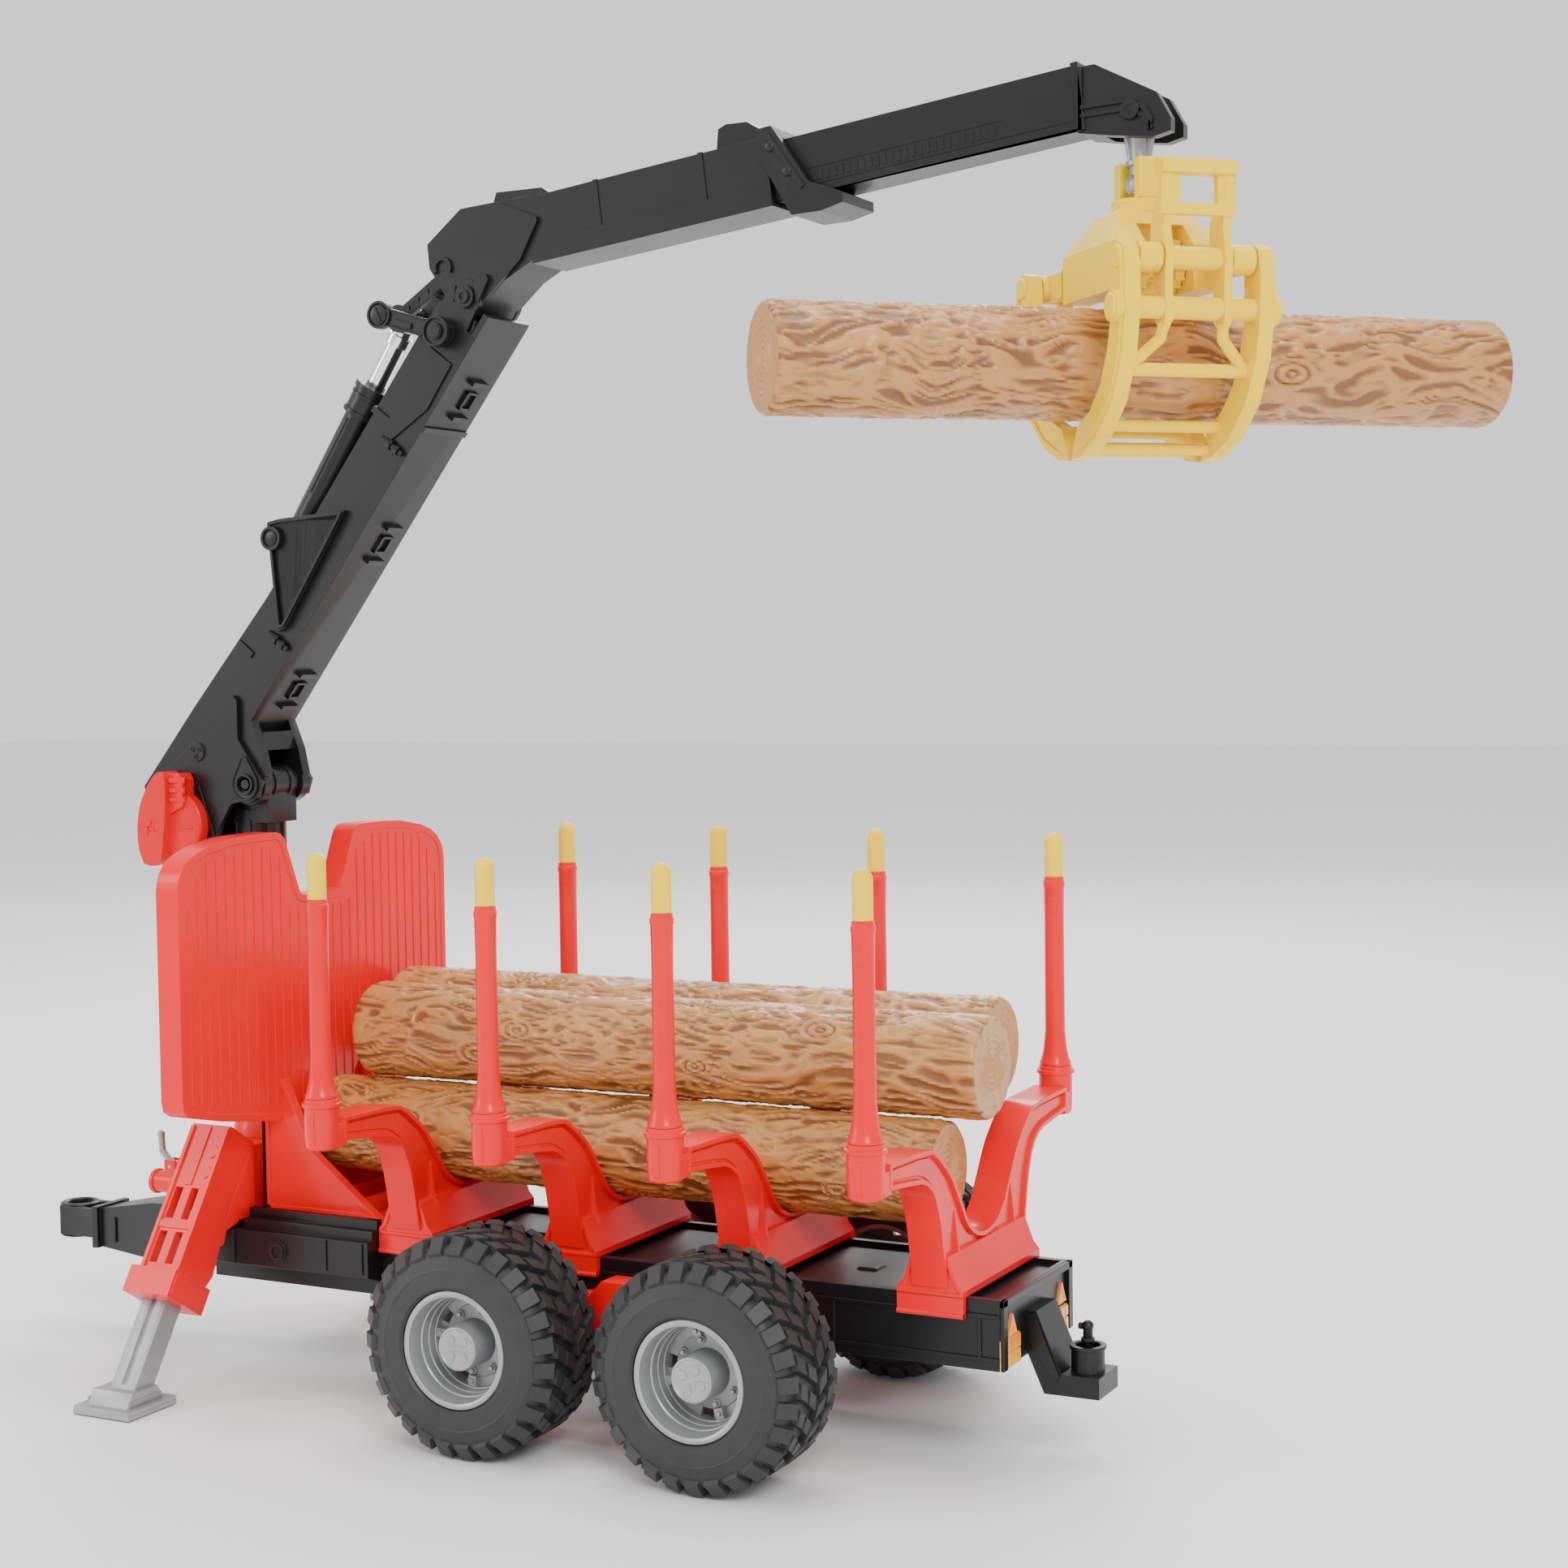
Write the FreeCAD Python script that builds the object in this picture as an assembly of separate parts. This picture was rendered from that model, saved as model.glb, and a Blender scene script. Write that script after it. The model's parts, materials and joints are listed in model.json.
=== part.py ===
import FreeCAD, Part

import math
import os

# Toy forestry trailer, about 1:16: tandem bogie wheels, four log bunks with stakes, a headboard,
# two slanted outriggers and a knuckle-boom crane that holds a log in its grab.
# Millimetres. X runs towards the rear, Z is up, the ground is Z = 0 and the long middle plane is Y = 0.
# Every place below is measured from a point on the ground midway between the two axles; export()
# then moves the whole trailer along X so that the origin is at the centre of its footprint.

# ---- wheels and bogies
TYRE_R = 37.5
TYRE_W = 36.0
RIM_R = 20.0
AXLE_X = 44.3
WHEEL_Y = 72.7
AXLE_PIN_R = 3.0
RUNNING_GAP = 0.05
BOGIE_PIVOT_Z = 46.0
BOGIE_PIVOT_R = 5.0
BOGIE_IN_Y = 42.0
BOGIE_OUT_Y = 52.0

# ---- chassis
CHASSIS_FRONT = -192.0
CHASSIS_REAR = 125.8
CHASSIS_HALF_W = 31.0
CHASSIS_LOW = 35.0
CHASSIS_TOP = 58.0
LIP_W = 3.0
LIP_H = 2.0
WALL = 3.5
DECK = 5.0

# ---- drawbar
EYE_X = -286.7
EYE_OUT_R = 8.0
EYE_BORE_R = 5.0
EYE_LOW = 40.5
EYE_TOP = 48.0

# ---- bunks and stakes
BUNK_X = (-102.95, -34.6, 32.1, 102.5)
BUNK_T = 12.3
STAKE_Y = 80.09
SOCKET_R = 6.0
SOCKET_LOW = 98.6
SOCKET_TOP = 116.0
STAKE_R = 3.6
STAKE_TOP = 183.9
CAP_R = 3.25
CAP_TOP = 200.0

# ---- headboard
HEADBOARD_FRONT = -172.6
HEADBOARD_REAR = -162.7
HEADBOARD_HALF_W = 81.3
HEADBOARD_TOP = 202.0

# ---- outriggers: a slanted line in the YZ plane, from the top outer corner downwards
LEG_TILT = math.radians(32.9)
HOUSING_TOP_Y = 40.0
HOUSING_TOP_Z = 94.0
HOUSING_L = 60.7
HOUSING_D = 15.0
HOUSING_X0 = -193.2
HOUSING_X1 = -175.6
LEG_X0 = -190.8
LEG_X1 = -179.8
LEG_OUT = 3.8
LEG_IN = 12.8
LEG_TOP_S = 32.0
LEG_GAP = 0.2

# ---- crane
COLUMN_X = -190.6
COLUMN_R = 9.2
SPIGOT_R = 6.0
PEDESTAL_TOP = 150.0
HINGE_X = -185.0
HINGE_Z = 219.0
HINGE_PIN_R = 3.0
BOOM_HALF_W = 13.5
BOOM_FOOT = (-184.1, 241.6)
BOOM_ANGLE = math.radians(52.38)
BOOM_DEPTH = 21.2
BOOM_LENGTH = 172.9
ELBOW = (-82.5, 393.6)
CYLINDER_FOOT = (-169.2, 310.8)
ROD_EYE = (-116.7, 389.2)
ARM_PIVOT = (-92.4, 381.7)
LINK_LUG = (-92.5, 404.7)
SMALL_PIN_R = 2.5
ROD_EYE_PLAY = 0.85
LINK_EYE_PLAY = 0.35
KNOB_PIVOT = (-223.8, 202.7)

# ---- stick and extension: a line in the XZ plane through STICK_MID
STICK_MID = (11.4, 423.2)
STICK_TILT = math.radians(6.84)
SLEEVE_H = 23.2
SLEEVE_W = 22.0
EXTENSION_H = 20.0
EXTENSION_W = 16.8
SLIDE_GAP = 0.3
TIP_PIN = (164.4, 433.5)
HOOK_PIN_R = 2.4
BALL_Z = 411.2
BALL_R = 4.5

# ---- grab and logs
GRAB_TURN = 45.0
LOG_R = 17.75
LOG_L = 252.0
LOG_EDGE = 2.5
HELD_LOG_Z = 354.6
CLAW_PIN_Y = 36.0
CLAW_PIN_Z = 383.0
CLAW_X0 = 20.0
CLAW_X1 = 25.0

FRONT_REACH = EYE_X - EYE_OUT_R
TURN = math.radians(GRAB_TURN)
REAR_REACH = TIP_PIN[0] + (0.5 * LOG_L - LOG_EDGE) * math.cos(TURN) + LOG_R * math.sin(TURN)
SHIFT_X = -0.5 * (FRONT_REACH + REAR_REACH)

Vec = FreeCAD.Vector
Y_AXIS = Vec(0, 1, 0)
Z_AXIS = Vec(0, 0, 1)


# ---------------------------------------------------------------- helpers
def box(x0, x1, y0, y1, z0, z1):
    """Box between two corners."""
    return Part.makeBox(x1 - x0, y1 - y0, z1 - z0, Vec(x0, y0, z0))


def along_x(x0, x1, y, z, radius):
    """Cylinder along X."""
    return Part.makeCylinder(radius, x1 - x0, Vec(x0, y, z), Vec(1, 0, 0))


def along_y(place, y0, y1, radius):
    """Cylinder along Y through a place given as (x, z)."""
    return Part.makeCylinder(radius, y1 - y0, Vec(place[0], y0, place[1]), Y_AXIS)


def along_z(x, y, z0, z1, radius):
    """Upright cylinder."""
    return Part.makeCylinder(radius, z1 - z0, Vec(x, y, z0), Z_AXIS)


def rod(start, end, radius):
    """Cylinder between two points."""
    axis = Vec(*end) - Vec(*start)
    return Part.makeCylinder(radius, axis.Length, Vec(*start), axis)


def prism(points, direction):
    """Solid swept from a closed outline of points along a direction."""
    return Part.Face(Part.makePolygon(points + [points[0]])).extrude(direction)


def side_plate(outline, y0, y1):
    """Plate whose outline is given as (x, z), between two Y values."""
    return prism([Vec(x, y0, z) for x, z in outline], Vec(0, y1 - y0, 0))


def cross_plate(outline, x0, x1):
    """Plate whose outline is given as (y, z), between two X values."""
    return prism([Vec(x0, y, z) for y, z in outline], Vec(x1 - x0, 0, 0))


def plan_plate(outline, z0, z1):
    """Plate whose outline is given as (x, y), between two Z values."""
    return prism([Vec(x, y, z0) for x, y in outline], Vec(0, 0, z1 - z0))


def turned(profile, centre, axis=Y_AXIS):
    """Turned part: profile of (radius, along) revolved about an axis along Y or Z through a centre."""
    if axis == Y_AXIS:
        points = [Vec(r, a, 0) for r, a in profile]
    else:
        points = [Vec(r, 0, a) for r, a in profile]
    solid = Part.Face(Part.makePolygon(points + [points[0]])).revolve(Vec(0, 0, 0), axis, 360)
    solid.translate(Vec(*centre))
    return solid


def join(first, *others):
    """One solid from touching or overlapping solids."""
    return first.fuse(list(others)).removeSplitter()


def less(first, *tools):
    """First solid with the tools cut away."""
    return first.cut(list(tools)).removeSplitter()


def other_side(shape):
    """Mirror image across the long middle plane."""
    return shape.mirror(Vec(0, 0, 0), Y_AXIS)


def both_sides(outline):
    """Outline of (y, z) points with y >= 0 from bottom to top, closed by its own mirror image."""
    return outline + [(-y, z) for y, z in reversed(outline)]


def export(name, *solids):
    """Write one sub-part, moved so that the origin is at the centre of the footprint."""
    shape = solids[0] if len(solids) == 1 else Part.makeCompound(list(solids))
    shape = shape.copy()
    shape.translate(Vec(SHIFT_X, 0, 0))
    shape.exportStep("parts/" + name + ".step")


# ---------------------------------------------------------------- wheels and bogies
def tyre(x, side):
    """Hollow rubber casing with rounded shoulders, open towards the rim between its two beads."""
    half = 0.5 * TYRE_W
    outside = [(RIM_R, -17), (26, -half), (33, -17.5), (TYRE_R, -13.5)]
    inside = [(33.5, 11.5), (31, 14), (RIM_R, 14)]
    profile = outside + [(r, -a) for r, a in reversed(outside)]
    profile += [(r, a) for r, a in reversed(inside)] + [(r, -a) for r, a in inside]
    return turned(profile, (x, side * WHEEL_Y, TYRE_R))


def rim(x, side):
    """Dished rim: barrel, web and a hub with a closed cap, blind bore from the inner side."""
    bore = AXLE_PIN_R + RUNNING_GAP
    profile = [(bore, -14), (8, -14), (8, 2), (18.2, 2), (18.2, -16.9), (RIM_R, -16.9)]
    profile += [(RIM_R, 16.9), (18.2, 16.9), (18.2, 5), (8, 5), (8, 15), (0, 15.6), (0, 11), (bore, 11)]
    return turned([(r, side * a) for r, a in profile], (x, side * WHEEL_Y, TYRE_R))


def wheel_pins(side):
    """The two stub axles of one bogie, each with a thrust collar."""
    solids = []
    for x in (-AXLE_X, AXLE_X):
        y_in = BOGIE_OUT_Y
        collar = (y_in, y_in + 6.4)
        tip = WHEEL_Y + 10.5
        pin = along_y((x, TYRE_R), y_in - 8, tip, AXLE_PIN_R)
        pin = join(pin, along_y((x, TYRE_R), collar[0], collar[1], 6.0))
        solids.append(pin if side > 0 else other_side(pin))
    return solids


def bogie_beam(side):
    """Rocker beam between two wheels, bored for its pivot and its two stub axles."""
    half = [(10, 55.5), (15, 50), (50, 47), (56, 44), (56, 31), (50, 28)]
    outline = half + [(-x, z) for x, z in reversed(half)]
    beam = side_plate(outline, BOGIE_IN_Y, BOGIE_OUT_Y)
    pivot = along_y((0, BOGIE_PIVOT_Z), BOGIE_IN_Y - 1, BOGIE_OUT_Y + 1, BOGIE_PIVOT_R + RUNNING_GAP)
    seats = [along_y((x, TYRE_R), BOGIE_OUT_Y - 8, BOGIE_OUT_Y, AXLE_PIN_R) for x in (-AXLE_X, AXLE_X)]
    beam = less(beam, pivot, *seats)
    return beam if side > 0 else other_side(beam)


def bogie_pivot():
    """Pivot pin on the chassis side, with a spacer boss and a low head."""
    boss = along_y((0, BOGIE_PIVOT_Z), CHASSIS_HALF_W, BOGIE_IN_Y - 0.3, 9.0)
    pin = along_y((0, BOGIE_PIVOT_Z), CHASSIS_HALF_W, BOGIE_OUT_Y + 0.3, BOGIE_PIVOT_R)
    head = along_y((0, BOGIE_PIVOT_Z), BOGIE_OUT_Y + 0.3, BOGIE_OUT_Y + 1.8, 6.0)
    return join(boss, pin, head)


# ---------------------------------------------------------------- chassis
def chassis_frame():
    """Box chassis, open below between cross ribs, with raised lips along its top edges."""
    w = CHASSIS_HALF_W
    body = box(CHASSIS_FRONT, CHASSIS_REAR, -w, w, CHASSIS_LOW, CHASSIS_TOP)
    recess = box(-113, CHASSIS_REAR - 2, LIP_W - w, w - LIP_W, CHASSIS_TOP - LIP_H, CHASSIS_TOP)
    bays = 6
    rib = 2.5
    pitch = (CHASSIS_REAR - CHASSIS_FRONT - WALL) / bays
    hollows = []
    for i in range(bays):
        x0 = CHASSIS_FRONT + WALL + i * pitch
        hollows.append(box(x0, x0 + pitch - rib, WALL - w, w - WALL, CHASSIS_LOW, CHASSIS_TOP - DECK - LIP_H))
    return less(body, recess, *hollows)


def drawbar():
    """Tapered towing beam with an open-topped eye block at its front end."""
    y = 9.5
    plan = [(-272, 7.5), (-269.5, 7.5), (-240, 11), (CHASSIS_FRONT, 20)]
    plan += [(x, -v) for x, v in reversed(plan)]
    side = [(-272, 33.5), (-272, 48.2), (-269.5, 48.6), (-240, 54), (CHASSIS_FRONT, 57.5)]
    side += [(CHASSIS_FRONT, 35), (-240, 31.5)]
    beam = side_plate(side, -25, 25).common(plan_plate(plan, 25, 60))
    flange = box(-272.5, -269.5, -y, y, 33, 49.5)
    block = box(-290.5, -272, -EYE_OUT_R, EYE_OUT_R, 36.5, EYE_TOP)
    nose = along_z(EYE_X, 0, EYE_LOW, EYE_TOP, EYE_OUT_R)
    rib = box(-211, -206, -8, 8, 28.3, 34)
    eye = along_z(EYE_X, 0, 30, 50, EYE_BORE_R)
    pocket = box(-280, -273.5, -5.5, 5.5, 41, EYE_TOP)
    return less(join(beam, flange, block, nose, rib), eye, pocket)


def step_panel():
    """Stepped side panel beside the front of the chassis, with a round boss."""
    rear = -115.0
    lower = cross_plate([(31, 40), (40, 43), (40, 55.9), (31, 55.9)], -185, rear)
    middle = box(-173, rear, 31, 37, 55.9, 59.5)
    upper = box(-173, rear, 31, 34, 59.5, 62.9)
    boss = along_y((-155, 49.4), 40, 41, 4.0)
    return join(lower, middle, upper, boss)


def rear_reflectors():
    """Two warning plates and two triangles on the rear face."""
    x0 = CHASSIS_REAR
    x1 = CHASSIS_REAR + 1.2
    solids = [box(x0, x1, -31, -16, 33 + LIP_H, 45), box(x0, x1, 17, 27, 35, 44)]
    for y in (-22.6, 21.5):
        solids.append(cross_plate([(y - 3.6, 45.4), (y + 3.6, 45.4), (y, 52.4)], x0, x1))
    return solids


def hitch_bracket():
    """Sloping bracket at the rear with a flat plate and an upright cup for the hitch pin."""
    arm = side_plate([(125.8, 37), (125.8, 50), (129.5, 50), (138, 30), (151, 30), (151, 23), (132, 23)], -9, 9)
    cup = along_z(144, 0, 22.7, 38.2, 5.5)
    hole = along_z(144, 0, 15, 60, 1.6 + RUNNING_GAP)
    rebate = along_z(144, 0, 34.5, 40, 4.0)
    return less(join(arm, cup), hole, rebate)


def hitch_pin():
    """Lift-out hitch pin with a hooked top."""
    shank = along_z(144, 0, 22.7, 44.8, 1.6)
    knob = Part.makeSphere(1.9, Vec(144, 0, 44.6))
    hook = along_x(140.9, 144, 0, 44.4, 1.1)
    return join(shank, knob, hook)


# ---------------------------------------------------------------- load bunks
def bunk(x):
    """U-shaped log bunk with level shelves, a splayed foot and an end socket for each stake."""
    half_t = 0.5 * BUNK_T
    right = [(33.5, 61), (35.2, 71.5), (38, 84), (42.6, 93.6), (49.6, 98), (61, 99.4), (75.5, 100.8)]
    right += [(75.5, 109), (44, 108.3), (38, 105), (31.5, 100), (27, 96), (22, 89), (18.5, 84)]
    points = [Vec(x - half_t, y, z) for y, z in right]
    mirror = [Vec(x - half_t, -y, z) for y, z in reversed(right)]
    edges = [Part.LineSegment(a, b).toShape() for a, b in zip(points, points[1:])]
    edges.append(Part.Arc(points[-1], Vec(x - half_t, 0, 73), mirror[0]).toShape())
    edges += [Part.LineSegment(a, b).toShape() for a, b in zip(mirror, mirror[1:])]
    edges.append(Part.LineSegment(mirror[-1], points[0]).toShape())
    arms = Part.Face(Part.Wire(edges)).extrude(Vec(BUNK_T, 0, 0))
    foot_half = 11.7
    foot = [(-foot_half, 58), (foot_half, 58), (foot_half, 61), (half_t, 71), (-half_t, 71), (-foot_half, 61)]
    base = side_plate([(x + a, z) for a, z in foot], -33.5, 33.5)
    lips = [box(x - foot_half, x + foot_half, y, y + 2.5, 52, 58) for y in (-33.5, CHASSIS_HALF_W)]
    body = join(arms, base, *lips)
    sockets = []
    bores = []
    for y in (-STAKE_Y, STAKE_Y):
        sockets.append(along_z(x, y, SOCKET_LOW, SOCKET_TOP, SOCKET_R))
        sockets.append(along_z(x, y, SOCKET_TOP - 3, SOCKET_TOP - 1.5, SOCKET_R + 0.8))
        bores.append(along_z(x, y, SOCKET_LOW + 3, SOCKET_TOP, STAKE_R))
    return less(join(body, *sockets), *bores)


def stake(x, y):
    """Upright tube stake with a flared foot, pushed into its socket."""
    low = SOCKET_LOW + 3
    profile = [(0, low), (STAKE_R, low), (STAKE_R, SOCKET_TOP), (SOCKET_R - 0.6, SOCKET_TOP)]
    profile += [(4.4, SOCKET_TOP + 5), (STAKE_R, SOCKET_TOP + 12), (STAKE_R, STAKE_TOP), (0, STAKE_TOP)]
    return turned(profile, (x, y, 0), Z_AXIS)


def stake_cap(x, y):
    """Bullet-shaped end cap."""
    post = along_z(x, y, STAKE_TOP, CAP_TOP - CAP_R, CAP_R)
    return join(post, Part.makeSphere(CAP_R, Vec(x, y, CAP_TOP - CAP_R)))


def headboard():
    """Headboard with a central notch, on two sloping ribs and a flat foot."""
    right = [(0, 95), (30, 95), (60, 100), (77, 104), (HEADBOARD_HALF_W, 110), (HEADBOARD_HALF_W, 184)]
    right += [(80, 190), (76, 194.5), (66, 199), (52, 201.5), (40, HEADBOARD_TOP), (26, HEADBOARD_TOP)]
    right += [(22, 200), (19, 195), (13, 180), (10, 177.5)]
    board = cross_plate(both_sides(right[1:]), HEADBOARD_FRONT, HEADBOARD_REAR)
    foot = box(HEADBOARD_FRONT, -115, -30, 30, CHASSIS_TOP, 61)
    slope = [(HEADBOARD_FRONT, 61), (-120, 61), (-150, 84), (HEADBOARD_REAR, 110), (HEADBOARD_FRONT, 110)]
    ribs = [side_plate(slope, y, y + 4) for y in (-26, 22)]
    apron = box(HEADBOARD_FRONT, HEADBOARD_FRONT + 3, -26, 26, 61, 96)
    return join(board, foot, apron, *ribs)


# ---------------------------------------------------------------- outriggers
def slant(s, t):
    """(y, z) at distance s down the outrigger's outer face line and t inwards from it."""
    y = HOUSING_TOP_Y + s * math.sin(LEG_TILT) - t * math.cos(LEG_TILT)
    z = HOUSING_TOP_Z - s * math.cos(LEG_TILT) - t * math.sin(LEG_TILT)
    return y, z


def slant_block(s0, s1, t0, t1, x0, x1):
    """Block aligned with the outrigger's slanted axis."""
    return cross_plate([slant(s0, t0), slant(s1, t0), slant(s1, t1), slant(s0, t1)], x0, x1)


def outrigger_housing():
    """Slanted guide box with a collar, outer slots and a shoulder against the crane pedestal."""
    case = slant_block(0, HOUSING_L, 0, HOUSING_D, HOUSING_X0, HOUSING_X1)
    collar = slant_block(HOUSING_L - 4, HOUSING_L + 6, -3.6, HOUSING_D + 3, HOUSING_X0 - 1.6, HOUSING_X1 + 1.6)
    shoulder = cross_plate([(27.4, 85.8), (27.4, 58.5), (45, 58.5)], HOUSING_X0, HOUSING_X1)
    wing = [(37, 57.7), (44, 55.9), (45.9, 50.9), (47.9, 50.8), (52.4, 40.5), slant(HOUSING_L, HOUSING_D)]
    rear_wing = cross_plate(wing + [slant(30, HOUSING_D), (30, 80)], HOUSING_X1 - 2, HOUSING_X1)
    tunnel = slant_block(2, HOUSING_L + 8, LEG_OUT - LEG_GAP, LEG_IN + LEG_GAP, LEG_X0 - LEG_GAP, LEG_X1 + LEG_GAP)
    slots = []
    for s0 in (25, 42):
        for x0 in (-190.6, -183.4):
            slots.append(slant_block(s0, s0 + 12, -1, LEG_OUT, x0, x0 + 3.4))
    return less(join(case, collar, shoulder, rear_wing), tunnel, *slots)


def outrigger_leg():
    """Grooved leg section with a square foot plate."""
    leg = slant_block(LEG_TOP_S, 112, LEG_OUT, LEG_IN, LEG_X0, LEG_X1)
    leg = leg.common(box(-210, -170, 0, 140, 1.0, 120))
    groove = slant_block(LEG_TOP_S - 1, 98, LEG_OUT - 1, LEG_OUT + 1, -186.4, -184.2)
    foot_low = box(-200, -174.8, 74.9, 100.15, 0, 3)
    skirt = cross_plate([(78, 3), (97, 3), (94, 8), (81, 8)], -196, -178)
    return join(less(leg, groove), foot_low, skirt)


def crane_pedestal():
    """Fixed pillar behind the drawbar: base block, sleeve for the crane spigot, tie to the headboard."""
    base = box(-203, -178, -26, 26, CHASSIS_TOP, 84)
    pillar = along_z(COLUMN_X, 0, 84, PEDESTAL_TOP, 12.0)
    tie = box(-182, HEADBOARD_FRONT, -4, 4, 98, PEDESTAL_TOP - 4)
    bore = along_z(COLUMN_X, 0, 100, PEDESTAL_TOP + 1, SPIGOT_R + RUNNING_GAP)
    return less(join(base, pillar, tie), bore)


def valve_cylinder():
    """Small round valve body lying along X with two ears for its lever."""
    body = along_x(-218, HOUSING_X0, -33, 69, 4.1)
    boss = along_x(-218.8, -218, -33, 69, 1.2)
    ears = [box(-211.5, -206.5, y, y + 1.2, 71.5, 78) for y in (-35.9, -31.3)]
    pin_hole = along_y((-209, 75.5), -37, -29, 0.8 + RUNNING_GAP)
    return less(join(body, boss, *ears), pin_hole)


def valve_lever():
    """Bent wire lever on a cross pin."""
    hub = along_y((-209, 75.5), -34.5, -31.5, 1.9)
    pin = along_y((-209, 75.5), -36, -30, 0.8)
    lower = rod((-209, -33, 75.5), (-214.5, -33, 80.5), 1.25)
    upper = rod((-214.5, -33, 80.5), (-215, -33, 87), 1.25)
    knee = Part.makeSphere(1.25, Vec(-214.5, -33, 80.5))
    return join(hub, pin, lower, knee, upper)


# ---------------------------------------------------------------- crane column and main boom
def boom_point(u, w):
    """(x, z) at distance u up the boom's underside and w above it."""
    c = math.cos(BOOM_ANGLE)
    s = math.sin(BOOM_ANGLE)
    return BOOM_FOOT[0] + u * c - w * s, BOOM_FOOT[1] + u * s + w * c


def crane_column():
    """Slewing column: spigot, round post and a cross barrel that carries the boom."""
    spigot = along_z(COLUMN_X, 0, 102, PEDESTAL_TOP + 0.3, SPIGOT_R)
    post = along_z(COLUMN_X, 0, PEDESTAL_TOP + 0.3, 209, COLUMN_R)
    neck = box(-196.5, -180, -8.6, 8.6, 204, 216)
    barrel = along_y((HINGE_X, HINGE_Z), -8.6, 8.6, 6.3)
    seat = along_y((HINGE_X, HINGE_Z), -9, 9, HINGE_PIN_R)
    return less(join(spigot, post, neck, barrel), seat)


def boom_hinge_pin():
    """Cross pin fixed in the column's barrel."""
    return along_y((HINGE_X, HINGE_Z), -15.3, 15.3, HINGE_PIN_R)


def main_boom():
    """Box boom with a forked heel, a clevis at the hinge and two ears for the elbow pin."""
    w = BOOM_HALF_W
    heel = [(-226.5, 189.2), (-233.7, 211), (-236, 217.6), (-210.9, 247.5), (-173.8, 289.7)]
    outline = heel + [boom_point(BOOM_LENGTH, BOOM_DEPTH), boom_point(BOOM_LENGTH, 0)]
    outline += [BOOM_FOOT, (-188.1, 235), (-205, 190)]
    body = side_plate(outline, -w, w)
    slot_low = box(-214, -180, -9.6, 9.6, 180, 219)
    slot_high = box(-203.5, -180, -9.6, 9.6, 218, 238)
    bore = [boom_point(6, 2.4), boom_point(BOOM_LENGTH - 3, 2.4)]
    bore += [boom_point(BOOM_LENGTH - 3, BOOM_DEPTH - 2.4), boom_point(45, BOOM_DEPTH - 2.4), boom_point(6, 17)]
    hollow = side_plate(bore, 2.4 - w, w - 2.4)
    body = less(body, slot_low, slot_high, hollow)
    cheek = [(-198, 242), (-183.5, 243), (-179, 232), (-176.8, 222), (-190, 212), (-197, 216)]
    parts = []
    for y0, y1 in ((-w, -9.1), (9.1, w)):
        parts.append(join(side_plate(cheek, y0, y1), along_y((HINGE_X, HINGE_Z), y0, y1, 8.0)))
    parts.append(box(-197.5, -181, -9.1, 9.1, 231.5, 238.5))
    ear = [boom_point(166, 4), boom_point(166, 20.8), boom_point(BOOM_LENGTH, 20.8), boom_point(182.4, 18.6)]
    ear += [boom_point(182.4, 6)]
    for y0, y1 in ((-w, -11.3), (11.3, w)):
        parts.append(join(side_plate(ear, y0, y1), along_y(ELBOW, y0, y1, 6.5)))
        inner = (y0 - 2.1, y0) if y0 < 0 else (y1, y1 + 2.1)
        parts.append(along_y(ARM_PIVOT, inner[0], inner[1], 4.5))
        outer = (y0 - 6.0, y0) if y0 < 0 else (y1, y1 + 6.0)
        parts.append(along_y(ARM_PIVOT, outer[0], outer[1], SMALL_PIN_R))
    nose = [boom_point(BOOM_LENGTH - 1, 0), boom_point(181.9, 0), boom_point(181.9, 2.4)]
    nose += [boom_point(BOOM_LENGTH - 1, 2.4)]
    parts.append(side_plate(nose, -w, w))
    pins = [along_y((HINGE_X, HINGE_Z), -w - 1, w + 1, HINGE_PIN_R + RUNNING_GAP)]
    pins.append(along_y(ELBOW, -w - 1, w + 1, SMALL_PIN_R))
    return less(join(body, *parts), *pins)


def boom_cheeks():
    """Two pointed side plates over the boom heel, each with a round fastener cap."""
    plate = [(-190, 252.5), (-193, 251), (-230.5, 216.5), (-232, 211), (-224.5, 190.5), (-206, 190.5)]
    plate += [(-192, 211.5), (-179, 214), (-177, 220), (-188.3, 236), (-188.3, 250.5)]
    solids = []
    for sign in (-1, 1):
        y0 = BOOM_HALF_W
        solid = join(side_plate(plate, y0, y0 + 2), along_y((HINGE_X, HINGE_Z), y0, y0 + 2, 7.0))
        solid = join(solid, along_y((-207.6, 231.1), y0 + 2, y0 + 2.8, 3.6))
        solid = less(solid, along_y((HINGE_X, HINGE_Z), y0 - 1, y0 + 4, HINGE_PIN_R + RUNNING_GAP))
        solids.append(solid if sign > 0 else other_side(solid))
    knob_pin = along_y(KNOB_PIVOT, -24, -15.5, 3.0)
    solids[0] = join(solids[0], knob_pin)
    return solids


def lock_knob():
    """Turning lock knob: round body with a raised grip, on a stub pin at the boom heel."""
    x, z = KNOB_PIVOT
    y0 = -25.5
    y1 = -15.8
    disc = along_y((x + 9, z + 1), y0 + 4.5, y1, 12.4)
    grip = [(x - 5, z + 4), (x + 1, z + 17), (x + 6, z + 21.5), (x + 13, z + 21.5), (x + 15.5, z + 18)]
    grip += [(x + 15.5, z + 9), (x + 6, z - 14), (x - 2, z - 14), (x - 5.5, z - 4)]
    handle = side_plate(grip, y0, y1)
    bore = along_y(KNOB_PIVOT, y0 - 1, y1 + 1, 3.0 + RUNNING_GAP)
    recess = along_y(KNOB_PIVOT, y0 - 1, y0 + 1.5, 4.2)
    return less(join(disc, handle), bore, recess)


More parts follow.
